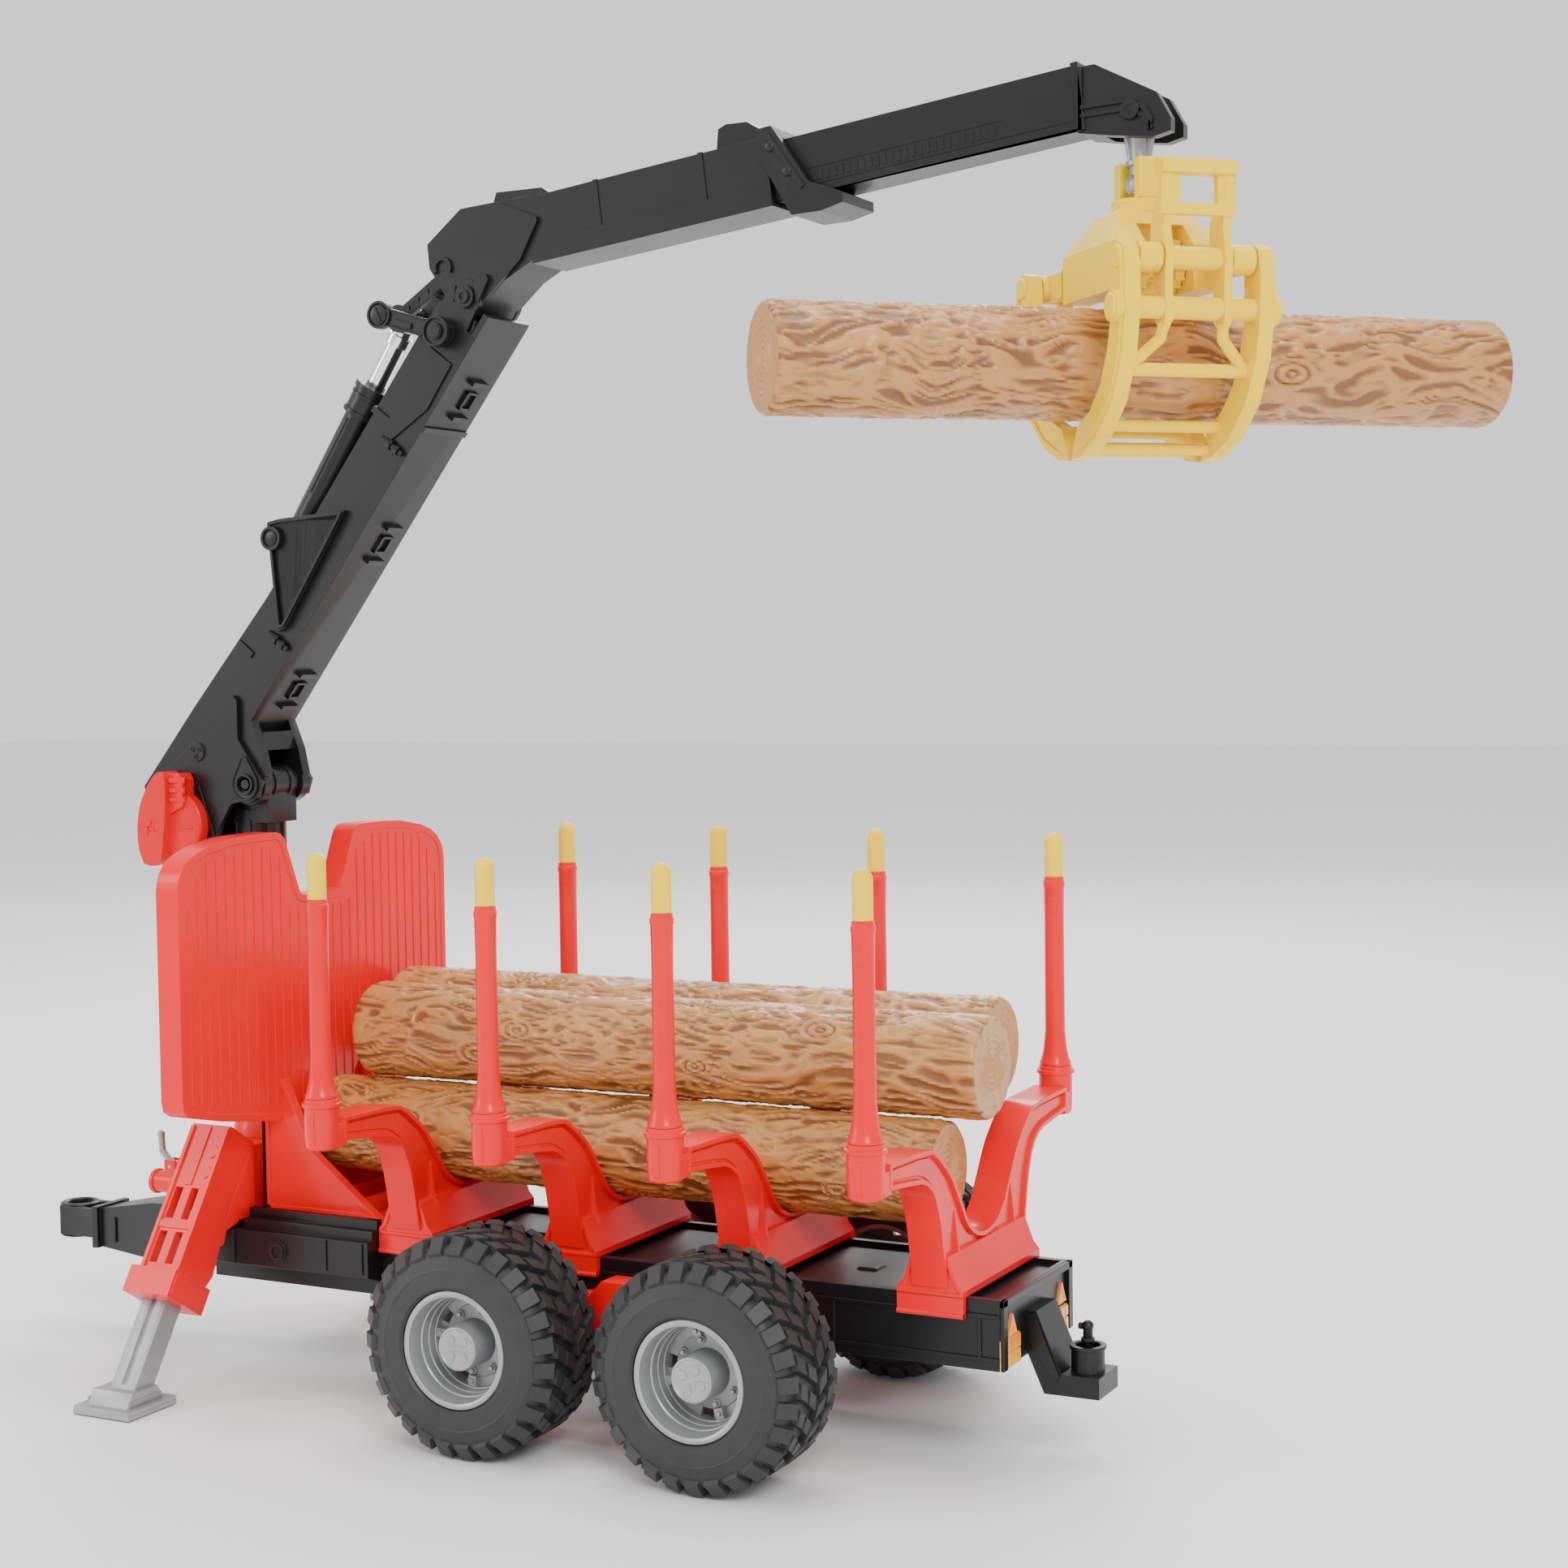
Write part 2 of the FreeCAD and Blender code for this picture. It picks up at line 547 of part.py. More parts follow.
def cylinder_bracket():
    """Two triangular plates on the boom sides with a cross pin for the knuckle cylinder."""
    plate = [(-171.5, 317), (-166, 318), (-136.1, 320), (-138, 316.5), (-164.5, 277.5), (-168, 276.1)]
    solids = []
    for y0, y1 in ((-15.5, -13.5), (13.5, 15.5)):
        solids.append(join(side_plate(plate, y0, y1), along_y(CYLINDER_FOOT, y0, y1, 4.6)))
    return join(along_y(CYLINDER_FOOT, -16.5, 16.5, SMALL_PIN_R), *solids)


def elbow_pin():
    """Elbow pin with a low head at each end."""
    w = BOOM_HALF_W
    heads = [along_y(ELBOW, y, y + 1.4, 4.0) for y in (-w - 1.4, w)]
    return join(along_y(ELBOW, -w, w, SMALL_PIN_R), *heads)


# ---------------------------------------------------------------- knuckle cylinder and links
def toward_rod_eye(distance):
    """Point on the knuckle cylinder's axis, measured from its foot."""
    dx = ROD_EYE[0] - CYLINDER_FOOT[0]
    dz = ROD_EYE[1] - CYLINDER_FOOT[1]
    k = distance / math.hypot(dx, dz)
    return CYLINDER_FOOT[0] + k * dx, 0, CYLINDER_FOOT[1] + k * dz


def knuckle_barrel():
    """Cylinder barrel with a foot eye and a wider gland collar, bored for its rod."""
    eye = along_y(CYLINDER_FOOT, -6, 6, 4.5)
    tube = rod(toward_rod_eye(3), toward_rod_eye(66), 5.75)
    gland = rod(toward_rod_eye(55), toward_rod_eye(66), 6.8)
    bore = rod(toward_rod_eye(12), toward_rod_eye(67), 3.75 + RUNNING_GAP)
    pin = along_y(CYLINDER_FOOT, -7, 7, SMALL_PIN_R + RUNNING_GAP)
    return less(join(eye, tube, gland), bore, pin)


def knuckle_rod():
    """Bright piston rod with an eye that has play on its pin."""
    dx = ROD_EYE[0] - CYLINDER_FOOT[0]
    dz = ROD_EYE[1] - CYLINDER_FOOT[1]
    shaft = rod(toward_rod_eye(20), toward_rod_eye(math.hypot(dx, dz) - 3), 3.75)
    eye = along_y(ROD_EYE, -4.2, 4.2, 5.2)
    return less(join(shaft, eye), along_y(ROD_EYE, -5, 5, SMALL_PIN_R + ROD_EYE_PLAY))


def strap(a, b, y0, y1, eye_a, eye_b, width):
    """Flat link between two eyes given as (x, z)."""
    dx = b[0] - a[0]
    dz = b[1] - a[1]
    k = 0.5 * width / math.hypot(dx, dz)
    nx = -dz * k
    nz = dx * k
    outline = [(a[0] + nx, a[1] + nz), (b[0] + nx, b[1] + nz), (b[0] - nx, b[1] - nz), (a[0] - nx, a[1] - nz)]
    return join(side_plate(outline, y0, y1), along_y(a, y0, y1, eye_a), along_y(b, y0, y1, eye_b))


def link_arms():
    """Pair of side links on the boom, joined by the pin through the rod eye."""
    bore = along_y(ARM_PIVOT, -20, 20, SMALL_PIN_R + RUNNING_GAP)
    arms = [less(strap(ROD_EYE, ARM_PIVOT, y, y + 2.5, 5.0, 5.5, 6.5), bore) for y in (-18.3, 15.8)]
    return join(along_y(ROD_EYE, -18.3, 18.3, SMALL_PIN_R), *arms)


def top_link():
    """Two thin straps from the rod eye to the stick's lug, joined by a web."""
    straps = [strap(ROD_EYE, LINK_LUG, y, y + 2.5, 5.0, 3.9, 5.0) for y in (-7, 4.5)]
    mid = (0.45 * ROD_EYE[0] + 0.55 * LINK_LUG[0], 0.45 * ROD_EYE[1] + 0.55 * LINK_LUG[1])
    web = along_y(mid, -4.5, 4.5, 2.2)
    loose = along_y(ROD_EYE, -8, 8, SMALL_PIN_R + LINK_EYE_PLAY)
    snug = along_y(LINK_LUG, -8, 8, 2.0 + RUNNING_GAP)
    return less(join(straps[0], straps[1], web), loose, snug)


# ---------------------------------------------------------------- stick, extension and hook
def stick_point(s, t):
    """(x, z) at distance s along the stick's axis and t above it."""
    c = math.cos(STICK_TILT)
    n = math.sin(STICK_TILT)
    return STICK_MID[0] + s * c - t * n, STICK_MID[1] + s * n + t * c


def stick_bar(s0, s1, half_h, half_w):
    """Bar aligned with the stick, centred on its axis."""
    outline = [stick_point(s0, -half_h), stick_point(s1, -half_h), stick_point(s1, half_h)]
    return side_plate(outline + [stick_point(s0, half_h)], -half_w, half_w)


def stick_cavity(s0, s1):
    """Space that the extension slides in."""
    return stick_bar(s0, s1, 0.5 * EXTENSION_H + SLIDE_GAP, 0.5 * EXTENSION_W + SLIDE_GAP)


def stick_beam():
    """Elbow housing and the hollow outer sleeve of the stick, with two humps on its back."""
    w = 0.5 * SLEEVE_W
    casting = [(-99.6, 414), (-84.8, 425.3), (-70.1, 426.3), (-57, 427), (-52, 409.5), (-57, 404)]
    casting += [(-67.4, 398.6), (-77, 390.6), (-79.5, 387), (-86, 387), (-90, 391), (-98.9, 405)]
    body = side_plate(casting, -w, w)
    sleeve = stick_bar(-69, 27, 0.5 * SLEEVE_H, w)
    hump_a = side_plate([(-75, 425), (-73, 430.5), (-54, 430.5), (-49, 427), (-49, 420), (-75, 420)], -7, 7)
    hump_b = [(16, 432), (17, 443.2), (20, 444.6), (28, 444.6), (34, 441), (34, 432)]
    solid = join(body, sleeve, hump_a, side_plate(hump_b, -7, 7))
    link_slot = box(-106, -86.8, -7.3, 7.3, 380, 412)
    pin_bore = along_y(ELBOW, -w - 1, w + 1, SMALL_PIN_R + RUNNING_GAP)
    solid = less(solid, stick_cavity(-67.5, 28), link_slot, pin_bore)
    return join(solid, along_y(LINK_LUG, -w, w, 2.0))


def end_bracket():
    """Slanted guide bracket at the mouth of the sleeve, wrapped round the extension."""
    outline = [(34.6, 432), (34.8, 440.6), (39.7, 441.2), (53.5, 421.5), (66.1, 417), (66.1, 413.6)]
    outline += [(58, 411.4), (47, 411)]
    solid = side_plate(outline, -12.2, 12.2)
    solid = less(solid, stick_bar(-69, 27, 0.5 * SLEEVE_H, 0.5 * SLEEVE_W), stick_cavity(26, 90))
    pins = [along_y(place, y, y + 0.8, 1.5) for y in (-13.0, 12.2) for place in ((39.4, 434.2), (45.8, 425.6))]
    return join(solid, *pins)


def extension():
    """Sliding inner beam with an end collar and two tip cheeks."""
    beam = stick_bar(-16.5, 137.5, 0.5 * EXTENSION_H, 0.5 * EXTENSION_W)
    collar = stick_bar(135.5, 138, 0.5 * EXTENSION_H + 0.8, 0.5 * EXTENSION_W + 0.8)
    tip = [(147, 428), (147, 448.6), (152.5, 449), (172.9, 438.2), (177.5, 430), (177.5, 425.8)]
    tip += [(172, 424.5), (158, 426.2)]
    cheeks = side_plate(tip, -0.5 * EXTENSION_W, 0.5 * EXTENSION_W)
    slot = box(155, 180, -4.2, 4.2, 415, 455)
    hollow = stick_bar(-17, 132, 0.5 * EXTENSION_H - 2.4, 0.5 * EXTENSION_W - 2.4)
    pin_hole = along_y(TIP_PIN, -12, 12, HOOK_PIN_R)
    return less(join(beam, collar, cheeks), slot, hollow, pin_hole)


def tip_pin():
    """Tip pin with low heads outside the cheeks."""
    w = 0.5 * EXTENSION_W
    heads = [along_y(TIP_PIN, y, y + 1.0, 3.2) for y in (-w - 1.0, w)]
    return join(along_y(TIP_PIN, -w, w, HOOK_PIN_R), *heads)


def hook_link():
    """Swinging link: eye on the tip pin, stem, flange and a ball that the grab snaps over."""
    x, z = TIP_PIN
    eye = along_y(TIP_PIN, -3.9, 3.9, 7.6)
    stem = along_z(x, 0, BALL_Z, z - 5, 3.1)
    flange = along_z(x, 0, 417.2, 418.7, 4.6)
    ball = Part.makeSphere(BALL_R, Vec(x, 0, BALL_Z))
    bore = along_y(TIP_PIN, -5, 5, HOOK_PIN_R + RUNNING_GAP)
    return less(join(eye, stem, flange, ball), bore)


# ---------------------------------------------------------------- grab, built with X along its log
def set_grab(solid):
    """Turn a piece from the grab's own axes and place it under the hook."""
    solid = solid.copy()
    solid.rotate(Vec(0, 0, 0), Z_AXIS, GRAB_TURN)
    solid.translate(Vec(TIP_PIN[0], 0, 0))
    return solid


def grab_rotator():
    """Round base with two posts that hold the hook's ball."""
    base = along_z(0, 0, 401.8, 406.3, 9.0)
    posts = [box(-4.5, 4.5, y, y + 4.2, 406.3, 418.8) for y in (-9.3, 5.1)]
    return join(base, *posts)


def grab_housing():
    """Faceted housing, open in the middle, with four arms that carry the claw pins."""
    gable = [(21, 376), (21, 390), (9, 401.8)]
    hip = [(17.5, 374), (17.5, 391), (11, 402.5)]
    shell = cross_plate(both_sides(gable), -20, 20)
    shell = shell.common(side_plate(hip + [(-a, z) for a, z in reversed(hip)], -30, 30))
    mouths = [box(-8, 8, y, y + 22, 370, 397) for y in (-30, 8)]
    shell = less(shell, *mouths)
    arms = []
    bores = []
    for side in (-1, 1):
        for x0, x1 in ((-19.4, -11.8), (11.8, 19.4)):
            pin = (side * CLAW_PIN_Y, CLAW_PIN_Z)
            x_in = max(x0, -17.4)
            x_out = min(x1, 17.4)
            y0, y1 = sorted((side * 19.0, pin[0]))
            arms.append(box(x_in, x_out, y0, y1, CLAW_PIN_Z - 4.2, CLAW_PIN_Z + 4.2))
            arms.append(along_x(x0, x1, pin[0], pin[1], 4.6))
            bores.append(along_x(x0 - 1, x1 + 1, pin[0], pin[1], SMALL_PIN_R + RUNNING_GAP))
    return less(join(shell, *arms), *bores)


def claw_frame(side):
    """Pair of curved claw plates with their tip bars and brace."""
    outer = [(32, 387), (36, 388), (40, 386), (41.5, 380), (41.3, 367), (38.5, 353), (31.5, 340)]
    outer += [(20, 330), (8, 325.3), (1, 324.6)]
    inner = [(6, 335), (15, 338.6), (23, 346), (28, 355.5), (31, 366), (31, 383)]
    outline = [(side * y, z) for y, z in outer + inner]
    plates = [cross_plate(outline, x, x + CLAW_X1 - CLAW_X0) for x in (-CLAW_X1, CLAW_X0)]
    bars = [along_x(-CLAW_X0, CLAW_X0, side * y, z, 1.9) for y, z in ((12.5, 334.6), (5, 328.2))]
    brace = along_x(-CLAW_X0, CLAW_X0, side * 30.5, 350, 2.1)
    seats = [along_x(-30, 30, side * y, z, SMALL_PIN_R) for y, z in ((CLAW_PIN_Y, CLAW_PIN_Z), (36.5, 368))]
    return less(join(plates[0], plates[1], brace, *bars), *seats)


def claw_pins(side):
    """Upper pivot pin and lower headed bar of one claw."""
    y = side * CLAW_PIN_Y
    upper = join(
        along_x(-CLAW_X1, CLAW_X1, y, CLAW_PIN_Z, SMALL_PIN_R),
        along_x(-8.6, 8.6, y, CLAW_PIN_Z, 3.5),
    )
    y = side * 36.5
    lower = along_x(-CLAW_X1 - 2.6, CLAW_X1 + 2.6, y, 368, SMALL_PIN_R)
    sleeves = [along_x(-CLAW_X0, -11.2, y, 368, 3.5), along_x(11.2, CLAW_X0, y, 368, 3.5)]
    heads = [along_x(x, x + 2.6, y, 368, 4.8) for x in (-CLAW_X1 - 2.6, CLAW_X1)]
    return [upper, join(lower, along_x(-8.6, 8.6, y, 368, 3.5), *sleeves, *heads)]


def inner_plates(side, tall):
    """S-shaped inner plates of a claw: tall ones with a handle and window, or short ones on the claw itself."""
    low = [(32.8, 364), (36.5, 361), (40, 364), (40, 376), (41, 384)]
    top = [(39, 392), (41, 400), (41, 411), (37.5, 411), (35, 401), (30.5, 395), (30, 388)]
    short_top = [(39.5, 387), (36, 388.2), (32, 386)]
    outline = low + (top if tall else short_top) + [(32.2, 380)]
    outline = [(side * y, z) for y, z in outline]
    solids = [cross_plate(outline, x, x + 2.6) for x in (-11.2, 8.6)]
    for x, sign in ((-9.9, -1), (9.9, 1)):
        start = (x, side * 36.3, 363.5)
        knee = (x + sign * 0.6, side * 35, 359)
        end = (sign * 20.0, side * 31, 350)
        solids.append(rod(start, knee, 1.8))
        solids.append(Part.makeSphere(1.8, Vec(*knee)))
        solids.append(rod(knee, end, 1.8))
    holes = [along_x(-15, 15, side * y, z, SMALL_PIN_R) for y, z in ((CLAW_PIN_Y, CLAW_PIN_Z), (36.5, 368))]
    frame_cut = claw_frame(side)
    if tall:
        y0, y1 = sorted((side * 37.6, side * 40.6))
        y2, y3 = sorted((side * 36.0, side * 42.0))
        frame = less(box(-12.5, 12.5, y0, y1, 395.5, 411), box(-6.3, 6.3, y0 - 1, y1 + 1, 399, 407.6))
        solids += [frame, box(-12.5, 12.5, y2, y3, 407.8, 412)]
        return less(join(solids[0], *solids[1:]), frame_cut, *holes)
    return less(join(frame_cut, *solids), *holes)


# ---------------------------------------------------------------- logs
def log_body():
    """Log along X, centred on the origin, with eased end edges."""
    half = 0.5 * LOG_L
    profile = [Vec(-half, 0, 0), Vec(-half, 0, LOG_R - LOG_EDGE), Vec(LOG_EDGE - half, 0, LOG_R)]
    profile += [Vec(half - LOG_EDGE, 0, LOG_R), Vec(half, 0, LOG_R - LOG_EDGE), Vec(half, 0, 0)]
    face = Part.Face(Part.makePolygon(profile + [profile[0]]))
    return face.revolve(Vec(0, 0, 0), Vec(1, 0, 0), 360)


def log_at(x, y, z):
    """Loaded log lying along the trailer."""
    solid = log_body()
    solid.translate(Vec(x, y, z))
    return solid


# ---------------------------------------------------------------- write every sub-part
os.makedirs("parts", exist_ok=True)
NEAR = -1
FAR = 1

export("chassis_frame", chassis_frame())
export("drawbar", drawbar())
export("step_panels", step_panel(), other_side(step_panel()))
export("rear_reflectors", *rear_reflectors())
export("hitch_bracket", hitch_bracket())
export("hitch_pin", hitch_pin())
for number, bunk_x in enumerate(BUNK_X, 1):
    export("bunk_%d" % number, bunk(bunk_x))
STAKE_PLACES = [(x, side * STAKE_Y) for x in BUNK_X for side in (NEAR, FAR)]
export("stakes", *[stake(x, y) for x, y in STAKE_PLACES])
export("stake_caps", *[stake_cap(x, y) for x, y in STAKE_PLACES])
export("headboard", headboard())
export("crane_pedestal", crane_pedestal())
export("valve_cylinder", valve_cylinder())
export("valve_lever", valve_lever())
export("bogie_pivots", bogie_pivot(), other_side(bogie_pivot()))
for label, side in (("near", NEAR), ("far", FAR)):
    housing = outrigger_housing()
    leg = outrigger_leg()
    export("outrigger_housing_" + label, housing if side > 0 else other_side(housing))
    export("outrigger_leg_" + label, leg if side > 0 else other_side(leg))
    export("bogie_beam_" + label, bogie_beam(side))
    export("wheel_pins_" + label, *wheel_pins(side))
    for end, axle_x in (("front", -AXLE_X), ("rear", AXLE_X)):
        export("tyre_%s_%s" % (end, label), tyre(axle_x, side))
        export("rim_%s_%s" % (end, label), rim(axle_x, side))
export("crane_column", crane_column())
export("boom_hinge_pin", boom_hinge_pin())
export("main_boom", main_boom())
export("boom_cheeks", *boom_cheeks())
export("lock_knob", lock_knob())
export("cylinder_bracket", cylinder_bracket())
export("elbow_pin", elbow_pin())
export("knuckle_barrel", knuckle_barrel())
export("knuckle_rod", knuckle_rod())
export("link_arms", link_arms())
export("top_link", top_link())
export("stick_beam", stick_beam())
export("end_bracket", end_bracket())
export("extension", extension())
export("tip_pin", tip_pin())
export("hook_link", hook_link())
export("grab_rotator", set_grab(grab_rotator()))
export("grab_housing", set_grab(grab_housing()))
for label, side in (("front", NEAR), ("rear", FAR)):
    export("claw_pins_" + label, *[set_grab(s) for s in claw_pins(side)])
export("claw_front", set_grab(claw_frame(NEAR)))
export("claw_handle", set_grab(inner_plates(NEAR, True)))
export("claw_rear", set_grab(inner_plates(FAR, False)))
export("held_log", set_grab(log_at(0, 0, HELD_LOG_Z)))
export("low_log", log_at(-31, 0, 91.05))
export("near_log", log_at(-18, 8.5, 125.85))
export("far_log", log_at(-29.5, 44.3, 127.05))
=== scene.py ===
import json
import math
import random

import bmesh
import bpy
from mathutils import Matrix, Vector, noise


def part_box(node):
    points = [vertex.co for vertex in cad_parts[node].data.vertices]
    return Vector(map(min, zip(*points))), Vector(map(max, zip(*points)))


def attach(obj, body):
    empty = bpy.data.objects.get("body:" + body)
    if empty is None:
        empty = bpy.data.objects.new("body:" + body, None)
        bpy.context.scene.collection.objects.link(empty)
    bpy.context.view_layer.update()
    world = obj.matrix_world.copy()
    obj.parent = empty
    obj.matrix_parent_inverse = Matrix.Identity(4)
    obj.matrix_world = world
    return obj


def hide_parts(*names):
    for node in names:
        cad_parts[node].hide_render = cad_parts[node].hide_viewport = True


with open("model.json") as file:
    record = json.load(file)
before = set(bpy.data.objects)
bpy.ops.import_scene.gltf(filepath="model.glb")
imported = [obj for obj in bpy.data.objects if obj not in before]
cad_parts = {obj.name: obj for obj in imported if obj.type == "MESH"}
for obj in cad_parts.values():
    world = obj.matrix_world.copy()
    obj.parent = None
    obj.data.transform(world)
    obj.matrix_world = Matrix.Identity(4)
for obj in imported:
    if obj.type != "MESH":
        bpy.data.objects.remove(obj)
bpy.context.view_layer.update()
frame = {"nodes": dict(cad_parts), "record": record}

bl_info = {
    "name": "Toy Forestry Trailer",
    "version": (1, 0, 0),
    "blender": (4, 5, 0),
    "location": "3D View > Sidebar > Trailer",
    "description": "Builds the visible pieces of a toy timber trailer with a loading crane",
    "category": "Object",
}

MM = 0.001


def middle(node):
    """Middle of a frame node's box, in metres."""
    low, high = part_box(node)
    return (low + high) / 2


# Everything below is drawn in millimetres from the ground midway between the two axles.
START_X = (middle("tyre_front_near").x + middle("tyre_rear_near").x) / 2
TO_ROW = Matrix.Translation((START_X, 0, 0)) @ Matrix.Scale(MM, 4)
TO_MM = TO_ROW.inverted()


def at(node):
    """Middle of a frame node's box, in the drawing's millimetres."""
    return TO_MM @ middle(node)


def span(node):
    """Lowest and highest corner of a frame node's box, in the drawing's millimetres."""
    low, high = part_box(node)
    return TO_MM @ low, TO_MM @ high


# ---------------------------------------------------------------- settings shown in the sidebar
class TrailerSizes(bpy.types.PropertyGroup):
    """Sizes of the moulded details, in metres."""

    edge: bpy.props.FloatProperty(
        name="Edge rounding", description="Rounding of the moulded edges",
        default=0.00035, min=0.0001, max=0.001, precision=5, unit="LENGTH")
    bark: bpy.props.FloatProperty(
        name="Bark relief", description="Height of the ridges on the logs",
        default=0.0011, min=0.0002, max=0.002, precision=5, unit="LENGTH")
    tread: bpy.props.FloatProperty(
        name="Tread depth", description="Height of the tyre blocks above the casing",
        default=0.0021, min=0.0005, max=0.003, precision=5, unit="LENGTH")
    pitches: bpy.props.IntProperty(
        name="Tread pitches", description="Blocks in one row round a tyre", default=27, min=16, max=40)


class TrailerColours(bpy.types.PropertyGroup):
    """Colours of the mouldings."""

    red: bpy.props.FloatVectorProperty(
        name="Red", description="Bunks, headboard and supports",
        default=(0.84, 0.0, 0.006), size=3, min=0, max=1, subtype="COLOR")
    black: bpy.props.FloatVectorProperty(
        name="Black", description="Chassis and crane",
        default=(0.007, 0.007, 0.0075), size=3, min=0, max=1, subtype="COLOR")
    yellow: bpy.props.FloatVectorProperty(
        name="Yellow", description="Grab and stake caps",
        default=(1.0, 0.66, 0.0), size=3, min=0, max=1, subtype="COLOR")
    silver: bpy.props.FloatVectorProperty(
        name="Silver grey", description="Rims, legs and hook",
        default=(0.33, 0.335, 0.34), size=3, min=0, max=1, subtype="COLOR")
    rubber: bpy.props.FloatVectorProperty(
        name="Rubber", description="Tyres", default=(0.016, 0.0165, 0.017), size=3, min=0, max=1, subtype="COLOR")
    # Log colours: the raised bark colour is the logs' brown, made lighter as a painted highlight on the ridges; the
    # groove colour is painted shade in the bark's grooves and sunken end rings.
    log: bpy.props.FloatVectorProperty(
        name="Log", description="Raised bark of the logs",
        default=(0.50, 0.235, 0.062), size=3, min=0, max=1, subtype="COLOR")
    log_groove_shade: bpy.props.FloatVectorProperty(
        name="Log grooves", description="Grooves in the bark",
        default=(0.20, 0.075, 0.018), size=3, min=0, max=1, subtype="COLOR")


# ---------------------------------------------------------------- materials
class Socket:
    """A node's output that can be used in sums."""

    def __init__(self, finish, link):
        self.finish = finish
        self.link = link

    def maths(self, operation, first, second):
        """Add one Math node."""
        return self.finish.node("ShaderNodeMath", {"operation": operation}, {0: first, 1: second})

    def __add__(self, other):
        return self.maths("ADD", self, other)

    def __radd__(self, other):
        return self.maths("ADD", other, self)

    def __sub__(self, other):
        return self.maths("SUBTRACT", self, other)

    def __rsub__(self, other):
        return self.maths("SUBTRACT", other, self)

    def __mul__(self, other):
        return self.maths("MULTIPLY", self, other)

    def __rmul__(self, other):
        return self.maths("MULTIPLY", other, self)


class Finish:
    """One procedural material in the making."""

    def __init__(self, name):
        self.material = bpy.data.materials.new(name)
        self.material.use_nodes = True
        self.tree = self.material.node_tree
        self.tree.nodes.clear()
        self.shader = self.tree.nodes.new("ShaderNodeBsdfPrincipled")
        output = self.tree.nodes.new("ShaderNodeOutputMaterial")
        self.tree.links.new(self.shader.outputs[0], output.inputs[0])

    def node(self, kind, settings=None, values=None, output=0):
        """Add a node: its settings first, then the values or links of its sockets."""
        made = self.tree.nodes.new(kind)
        for key, value in (settings or {}).items():
            if key == "stops":
                for index, (position, colour) in enumerate(value):
                    if index < 2:
                        stop = made.color_ramp.elements[index]
                        stop.position = position
                    else:
                        stop = made.color_ramp.elements.new(position)
                    stop.color = (*colour, 1)
            else:
                setattr(made, key, value)
        self.fill(made, values or {})
        return Socket(self, made.outputs[output])

    def fill(self, made, values):
        """Set or link the input sockets of a node."""
        for key, value in values.items():
            socket = made.inputs[key]
            if isinstance(value, Socket):
                self.tree.links.new(value.link, socket)
            else:
                socket.default_value = value

    def place(self, stretch=(1, 1, 1)):
        """Object coordinates in millimetres, stretched along the axes."""
        coordinates = self.node("ShaderNodeTexCoord", output=3)
        scale = tuple(1000 * s for s in stretch)
        return self.node("ShaderNodeMapping", {}, {"Vector": coordinates, "Scale": scale})

    def noise(self, size, detail=2.0, stretch=(1, 1, 1)):
        """Soft noise whose grain is about the given number of millimetres."""
        values = {"Vector": self.place(stretch), "Scale": 1.0 / size, "Detail": detail}
        return self.node("ShaderNodeTexNoise", {}, values)

    def blend(self, amount, first, second):
        """Mix two colours by an amount."""
        values = {0: amount, 6: self.colour(first), 7: self.colour(second)}
        return self.node("ShaderNodeMix", {"data_type": "RGBA"}, values, output=2)

    @staticmethod
    def colour(value):
        """A colour with its alpha, or a socket as it is."""
        return value if isinstance(value, Socket) else (*value, 1)

    def bump(self, height, depth_mm, strength=1.0):
        """Surface bump from a height of 0 to 1."""
        values = {"Height": height, "Strength": strength, "Distance": depth_mm * MM}
        return self.node("ShaderNodeBump", {}, values)

    def done(self, **inputs):
        """Set the shader's own sockets and give the material."""
        named = {key.replace("_", " "): value for key, value in inputs.items()}
        self.fill(self.shader, named)
        return self.material


def shaded(colour, factor):
    """A colour made darker or lighter."""
    return tuple(min(1.0, c * factor) for c in colour)


def moulded_plastic(name, colour, rough, gleam, coat=0.0, swing=0.10, grain=0.012):
    """Moulded plastic: slow colour and gloss changes, a faint moulding grain and flow marks."""
    f = Finish(name)
    slow = f.noise(26.0, 3.0)
    fine = f.noise(0.55, 2.0)
    flow = f.noise(9.0, 4.0, (0.25, 1.0, 1.0))
    tint = f.blend(slow, shaded(colour, 1 - swing), shaded(colour, 1 + swing))
    height = fine * 0.6 + flow * 0.4
    gloss = (slow - 0.5) * 0.10 + (fine - 0.5) * 0.05 + rough
    return f.done(Base_Color=tint, Roughness=gloss, Coat_Weight=coat, Coat_Roughness=0.10,
                  IOR=1.5, Specular_IOR_Level=gleam, Normal=f.bump(height, grain, 0.6))


def tyre_rubber(colour):
    """Soft rubber with a dusty bloom and a fine matt grain."""
    f = Finish("tyre_rubber")
    bloom = f.noise(7.0, 5.0)
    fine = f.noise(0.4, 3.0)
    tint = f.blend(bloom, shaded(colour, 0.75), shaded(colour, 1.9))
    return f.done(Base_Color=tint, Roughness=0.52 + (bloom - 0.5) * 0.22, IOR=1.5,
                  Specular_IOR_Level=0.45, Normal=f.bump(fine, 0.05, 0.7))


def silver_plastic(colour):
    """Silver-grey plastic with a fine metallic flake."""
    f = Finish("silver_plastic")
    flake = f.noise(0.35, 2.0)
    slow = f.noise(15.0, 3.0)
    tint = f.blend(slow * 0.6 + flake * 0.4, shaded(colour, 0.78), shaded(colour, 1.3))
    return f.done(Base_Color=tint, Roughness=0.30 + slow * 0.12, Metallic=0.35 + flake * 0.25,
                  Normal=f.bump(flake, 0.012, 0.5))


